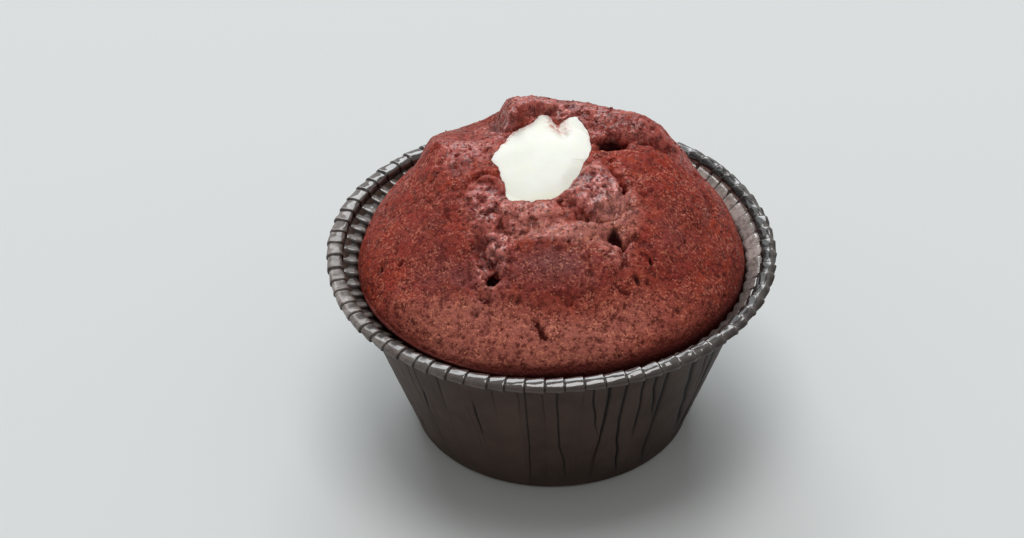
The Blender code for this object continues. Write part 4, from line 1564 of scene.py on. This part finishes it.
class MuffinColours(bpy.types.PropertyGroup):
    """Colours of every finish, as linear RGB."""

    crust: colour("Crust", (0.31, 0.028, 0.0145), "Main colour of the crust")
    crust_brown: colour("Brown crust", (0.255, 0.034, 0.022), "Cooler patches of the crust")
    crust_warm: colour("Warm crust", (0.37, 0.043, 0.016), "Warmer patches of the crust")
    # painted light on the front flank, and paler crust
    crust_pale_and_lit: colour("Dusty crust", (0.485, 0.147, 0.110), "Pale dusty parts of the crust")
    crust_dusky: colour("Dusky crust", (0.215, 0.072, 0.071), "Dark cool parts of the crust")
    # palest torn crumb, partly painted glints
    crust_pale_and_glint: colour("Chalky crust", (0.80, 0.36, 0.30), "Palest torn parts of the crust")
    # dark grain, and painted shade in the grain's hollows, the valleys and over the outer edge
    grain_and_fold_shade: colour("Folds", (0.085, 0.008, 0.006), "Dark grain and folds of the crust")
    # painted highlight on the grain's tops, and painted glints
    grain_highlight: colour("Flecks", (0.76, 0.255, 0.155), "Light grain of the crust")
    # painted shade in the hollows of the torn crumb
    torn_hollow_shade: colour("Torn, deep", (0.17, 0.012, 0.016), "Moist torn crumb in its hollows")
    # painted highlight on the ridges of the torn crumb
    torn_ridge_highlight: colour("Torn, light", (0.76, 0.215, 0.19), "Moist torn crumb on its ridges")
    # painted shade at the bottoms of cracks, holes and pits
    painted_hole_shade: colour("Holes", (0.028, 0.0025, 0.0022), "Bottoms of cracks and pits")
    cream: colour("Cream", (0.90, 0.92, 0.845), "Filling")
    cream_shade: colour("Cream, warm", (0.88, 0.90, 0.80), "Warmer parts of the filling")
    # painted shade along the filling's front edge
    cream_shaded_edge: colour("Cream, thin", (0.83, 0.87, 0.68), "Front edge of the filling")
    smear: colour("Smear", (0.50, 0.085, 0.075), "Crumb smeared on the filling")
    smear_pale: colour("Pale smear", (0.86, 0.60, 0.56), "Filling pinked by crumb")
    paper: colour("Paper", (0.0740, 0.0458, 0.0350), "Outside of the case")
    paper_dark: colour("Paper, dark", (0.036, 0.0214, 0.0158), "Darker parts of the outside")
    coating: colour("Coated paper", (0.034, 0.022, 0.018), "Coated face of the paper")
    # painted reflection on the pale coated facets
    coating_reflection: colour("Coated paper, light", (0.49, 0.44, 0.414), "Pale coated facets")
    # painted shade in creases, seams, cells and folds, and painted dark reflections
    paper_shade: colour("Creases", (0.003, 0.002, 0.002), "Inside of the folds")
    floor: colour("Floor", (0.69, 0.718, 0.725), "Plain pale floor")


class StageSettings(bpy.types.PropertyGroup):
    """Camera, lights and floor."""

    elevation: number(
        "Elevation", np.radians(39.2), "Camera above the horizon", subtype="ANGLE"
    )
    distance: length("Distance", 14.0 * RIM_RADIUS, "Camera to the middle of the base")
    lens: number("Lens", 106.8, "Focal length in mm on a 36 mm sensor")
    window_power: number("Window light", 44.5, "Light behind, in watts")
    top_power: number("Top light", 9.6, "Overhead light, in watts")
    sky: number("Ambient", 0.33, "Surrounding light overhead")
    horizon: number("Horizon", 0.60, "Surrounding light at the horizon behind")


# ---- stage -----------------------------------------------------------------

# Place, sides and tint of each light, in metres
WINDOW_LIGHT = ((-0.26, 2.20, 2.01), (2.20, 1.55), (0.965, 1.0, 1.03))
TOP_LIGHT = ((-0.04, 0.10, 1.60), (0.80, 0.80), (1.0, 0.99, 0.97))
LIGHT_TARGET = (0.0, 0.0, 0.03)
CAMERA_TARGET = (0.0, 0.0152, 0.0186)
CAMERA_SHIFT = -0.0387


def add_floor(colours):
    """A flat sheet under the object."""
    side = np.linspace(-2.0, 2.0, 3)
    x, y = np.meshgrid(side, side)
    points = place_in_plane(x, y).reshape(-1, 3)
    quads = np.array([(0, 1, 4, 3), (1, 2, 5, 4), (3, 4, 7, 6), (4, 5, 8, 7)])
    mesh = make_mesh("studio_floor", points, quads, np.zeros((0, 3), int))
    mesh.materials.append(stage_material(colours))
    new_object("studio_floor", mesh)


def add_sky(strength, horizon):
    """Soft surrounding light, brightest towards the horizon behind."""
    world = bpy.data.worlds.new("studio")
    world.use_nodes = True
    tree = world.node_tree
    background = tree.nodes["Background"]
    background.inputs["Color"].default_value = (1.0, 0.985, 0.955, 1.0)
    parts = tree.nodes.new("ShaderNodeSeparateXYZ")
    tree.links.new(tree.nodes.new("ShaderNodeTexCoord").outputs["Generated"], parts.inputs[0])
    low = ramp(tree, parts.outputs["Z"], 0.75, 0.05)
    behind = times(tree, low, ramp(tree, parts.outputs["Y"], -0.3, 0.5))
    level = plus(tree, times(tree, behind, horizon - strength), strength)
    tree.links.new(level, background.inputs["Strength"])
    bpy.context.scene.world = world


def aim(item, target):
    """Turns a light or camera to look at a point."""
    direction = Vector(target) - item.location
    item.rotation_euler = direction.to_track_quat("-Z", "Y").to_euler()


def add_area_light(name, light_plan, power):
    """A soft rectangular light, aimed at the middle of the object."""
    place, sides, tint = light_plan
    data = bpy.data.lights.new(name, "AREA")
    data.shape = "RECTANGLE"
    data.size, data.size_y = sides
    data.energy = power
    data.color = tint
    light = new_object(name, data)
    light.location = place
    aim(light, LIGHT_TARGET)


def add_camera(stage):
    """A long lens at the viewing angle; the object sits a little low and to the right."""
    data = bpy.data.cameras.new("camera")
    data.sensor_width = 36.0
    data.lens = stage.lens
    data.clip_start = 0.02
    data.clip_end = 20.0
    data.shift_x = CAMERA_SHIFT
    camera = new_object("camera", data)
    back = stage.distance
    camera.location = (0.0, -back * np.cos(stage.elevation), back * np.sin(stage.elevation))
    aim(camera, CAMERA_TARGET)
    bpy.context.scene.camera = camera
    bpy.context.scene.view_settings.view_transform = "Standard"


# ---- operators -------------------------------------------------------------

CRUMB_COLUMNS, CRUMB_RINGS = 540, 150
CREAM_COLUMNS, CREAM_RINGS = 220, 60
CRUMB_COUNT = 300


def finish(piece, material, fields, poles=(0.0, 0.0)):
    """Gives a piece its material and the masks that the material reads."""
    piece.data.materials.append(material)
    for name, values in fields.items():
        add_attribute(piece.data, name, values, poles)


class MUFFIN_OT_crumb(bpy.types.Operator):
    """Builds the red crumb with its lobes, cracks and socket, and the loose crumbs on it"""

    bl_idname = "muffin.crumb"
    bl_label = "Crumb"

    def execute(self, context):
        sizes, colours = context.scene.muffin_sizes, context.scene.muffin_colours
        rings, fields = crumb_surface(sizes, CRUMB_COLUMNS, CRUMB_RINGS)
        poles = ((0.0, 0.0, CRUMB_FLOOR), (*SOCKET_CENTRE, SOCKET_FLOOR))
        piece = ring_piece("muffin_crumb", rings, poles, "muffin")
        material = crumb_material(colours, grain_group())
        finish(piece, material, fields)
        mesh = make_mesh("loose_crumbs", *loose_crumbs(rings, fields["torn"], CRUMB_COUNT))
        lumps = make_piece("loose_crumbs", mesh, "muffin")
        every = np.ones(len(mesh.vertices))
        finish(lumps, material, {"torn": 0.6 * every, "shreds": 0.5 * every}, ())
        return {"FINISHED"}


class MUFFIN_OT_cream(bpy.types.Operator):
    """Builds the cream filling"""

    bl_idname = "muffin.cream"
    bl_label = "Cream"

    def execute(self, context):
        sizes, colours = context.scene.muffin_sizes, context.scene.muffin_colours
        rings, fields = cream_surface(sizes, CREAM_COLUMNS, CREAM_RINGS)
        poles = ((*SOCKET_CENTRE, CREAM_FLOOR), rings[-1].mean(axis=0))
        piece = ring_piece("cream_filling", rings, poles, "filling")
        finish(piece, cream_material(colours), fields)
        return {"FINISHED"}


class MUFFIN_OT_case(bpy.types.Operator):
    """Builds the pleated paper case with its rolled rim"""

    bl_idname = "muffin.case"
    bl_label = "Paper case"

    def execute(self, context):
        sizes, colours = context.scene.muffin_sizes, context.scene.muffin_colours
        paper = PaperGrid(sizes)
        slit = paper.slits()
        poles = ((0.0, 0.0, FLOOR_TOP), (0.0, 0.0, 0.0))
        rings = paper.surface(slit)
        piece = ring_piece("paper_case", rings, poles, "baking_case", inward=True)
        finish(piece, paper_material(colours), paper.fields(slit))
        return {"FINISHED"}


class MUFFIN_OT_stage(bpy.types.Operator):
    """Adds the floor, the soft lights and the camera"""

    bl_idname = "muffin.stage"
    bl_label = "Stage"

    def execute(self, context):
        stage = context.scene.muffin_stage
        add_floor(context.scene.muffin_colours)
        add_sky(stage.sky, stage.horizon)
        add_area_light("window_light", WINDOW_LIGHT, stage.window_power)
        add_area_light("top_light", TOP_LIGHT, stage.top_power)
        add_camera(stage)
        return {"FINISHED"}


class MUFFIN_PT_panel(bpy.types.Panel):
    """Lists the pieces and their settings"""

    bl_label = "Filled Muffin"
    bl_idname = "MUFFIN_PT_panel"
    bl_space_type = "VIEW_3D"
    bl_region_type = "UI"
    bl_category = "Muffin"

    def draw(self, context):
        for operator in OPERATORS:
            self.layout.operator(operator.bl_idname)
        scene = context.scene
        for group in (scene.muffin_sizes, scene.muffin_colours, scene.muffin_stage):
            box = self.layout.box()
            for name in group.bl_rna.properties.keys():
                if name not in {"rna_type", "name"}:
                    box.prop(group, name)


OPERATORS = (MUFFIN_OT_case, MUFFIN_OT_crumb, MUFFIN_OT_cream, MUFFIN_OT_stage)
GROUPS = (MuffinSizes, MuffinColours, StageSettings)


def register():
    """Makes the settings, the operators and the panel known to Blender."""
    for item in (*GROUPS, *OPERATORS, MUFFIN_PT_panel):
        bpy.utils.register_class(item)
    bpy.types.Scene.muffin_sizes = bpy.props.PointerProperty(type=MuffinSizes)
    bpy.types.Scene.muffin_colours = bpy.props.PointerProperty(type=MuffinColours)
    bpy.types.Scene.muffin_stage = bpy.props.PointerProperty(type=StageSettings)


def unregister():
    """Takes them out again."""
    del bpy.types.Scene.muffin_stage
    del bpy.types.Scene.muffin_colours
    del bpy.types.Scene.muffin_sizes
    for item in reversed((*GROUPS, *OPERATORS, MUFFIN_PT_panel)):
        bpy.utils.unregister_class(item)


def main():
    """Builds every piece and the stage."""
    register()
    bpy.ops.muffin.case()
    bpy.ops.muffin.crumb()
    bpy.ops.muffin.cream()
    bpy.ops.muffin.stage()


if __name__ == "__main__":
    main()
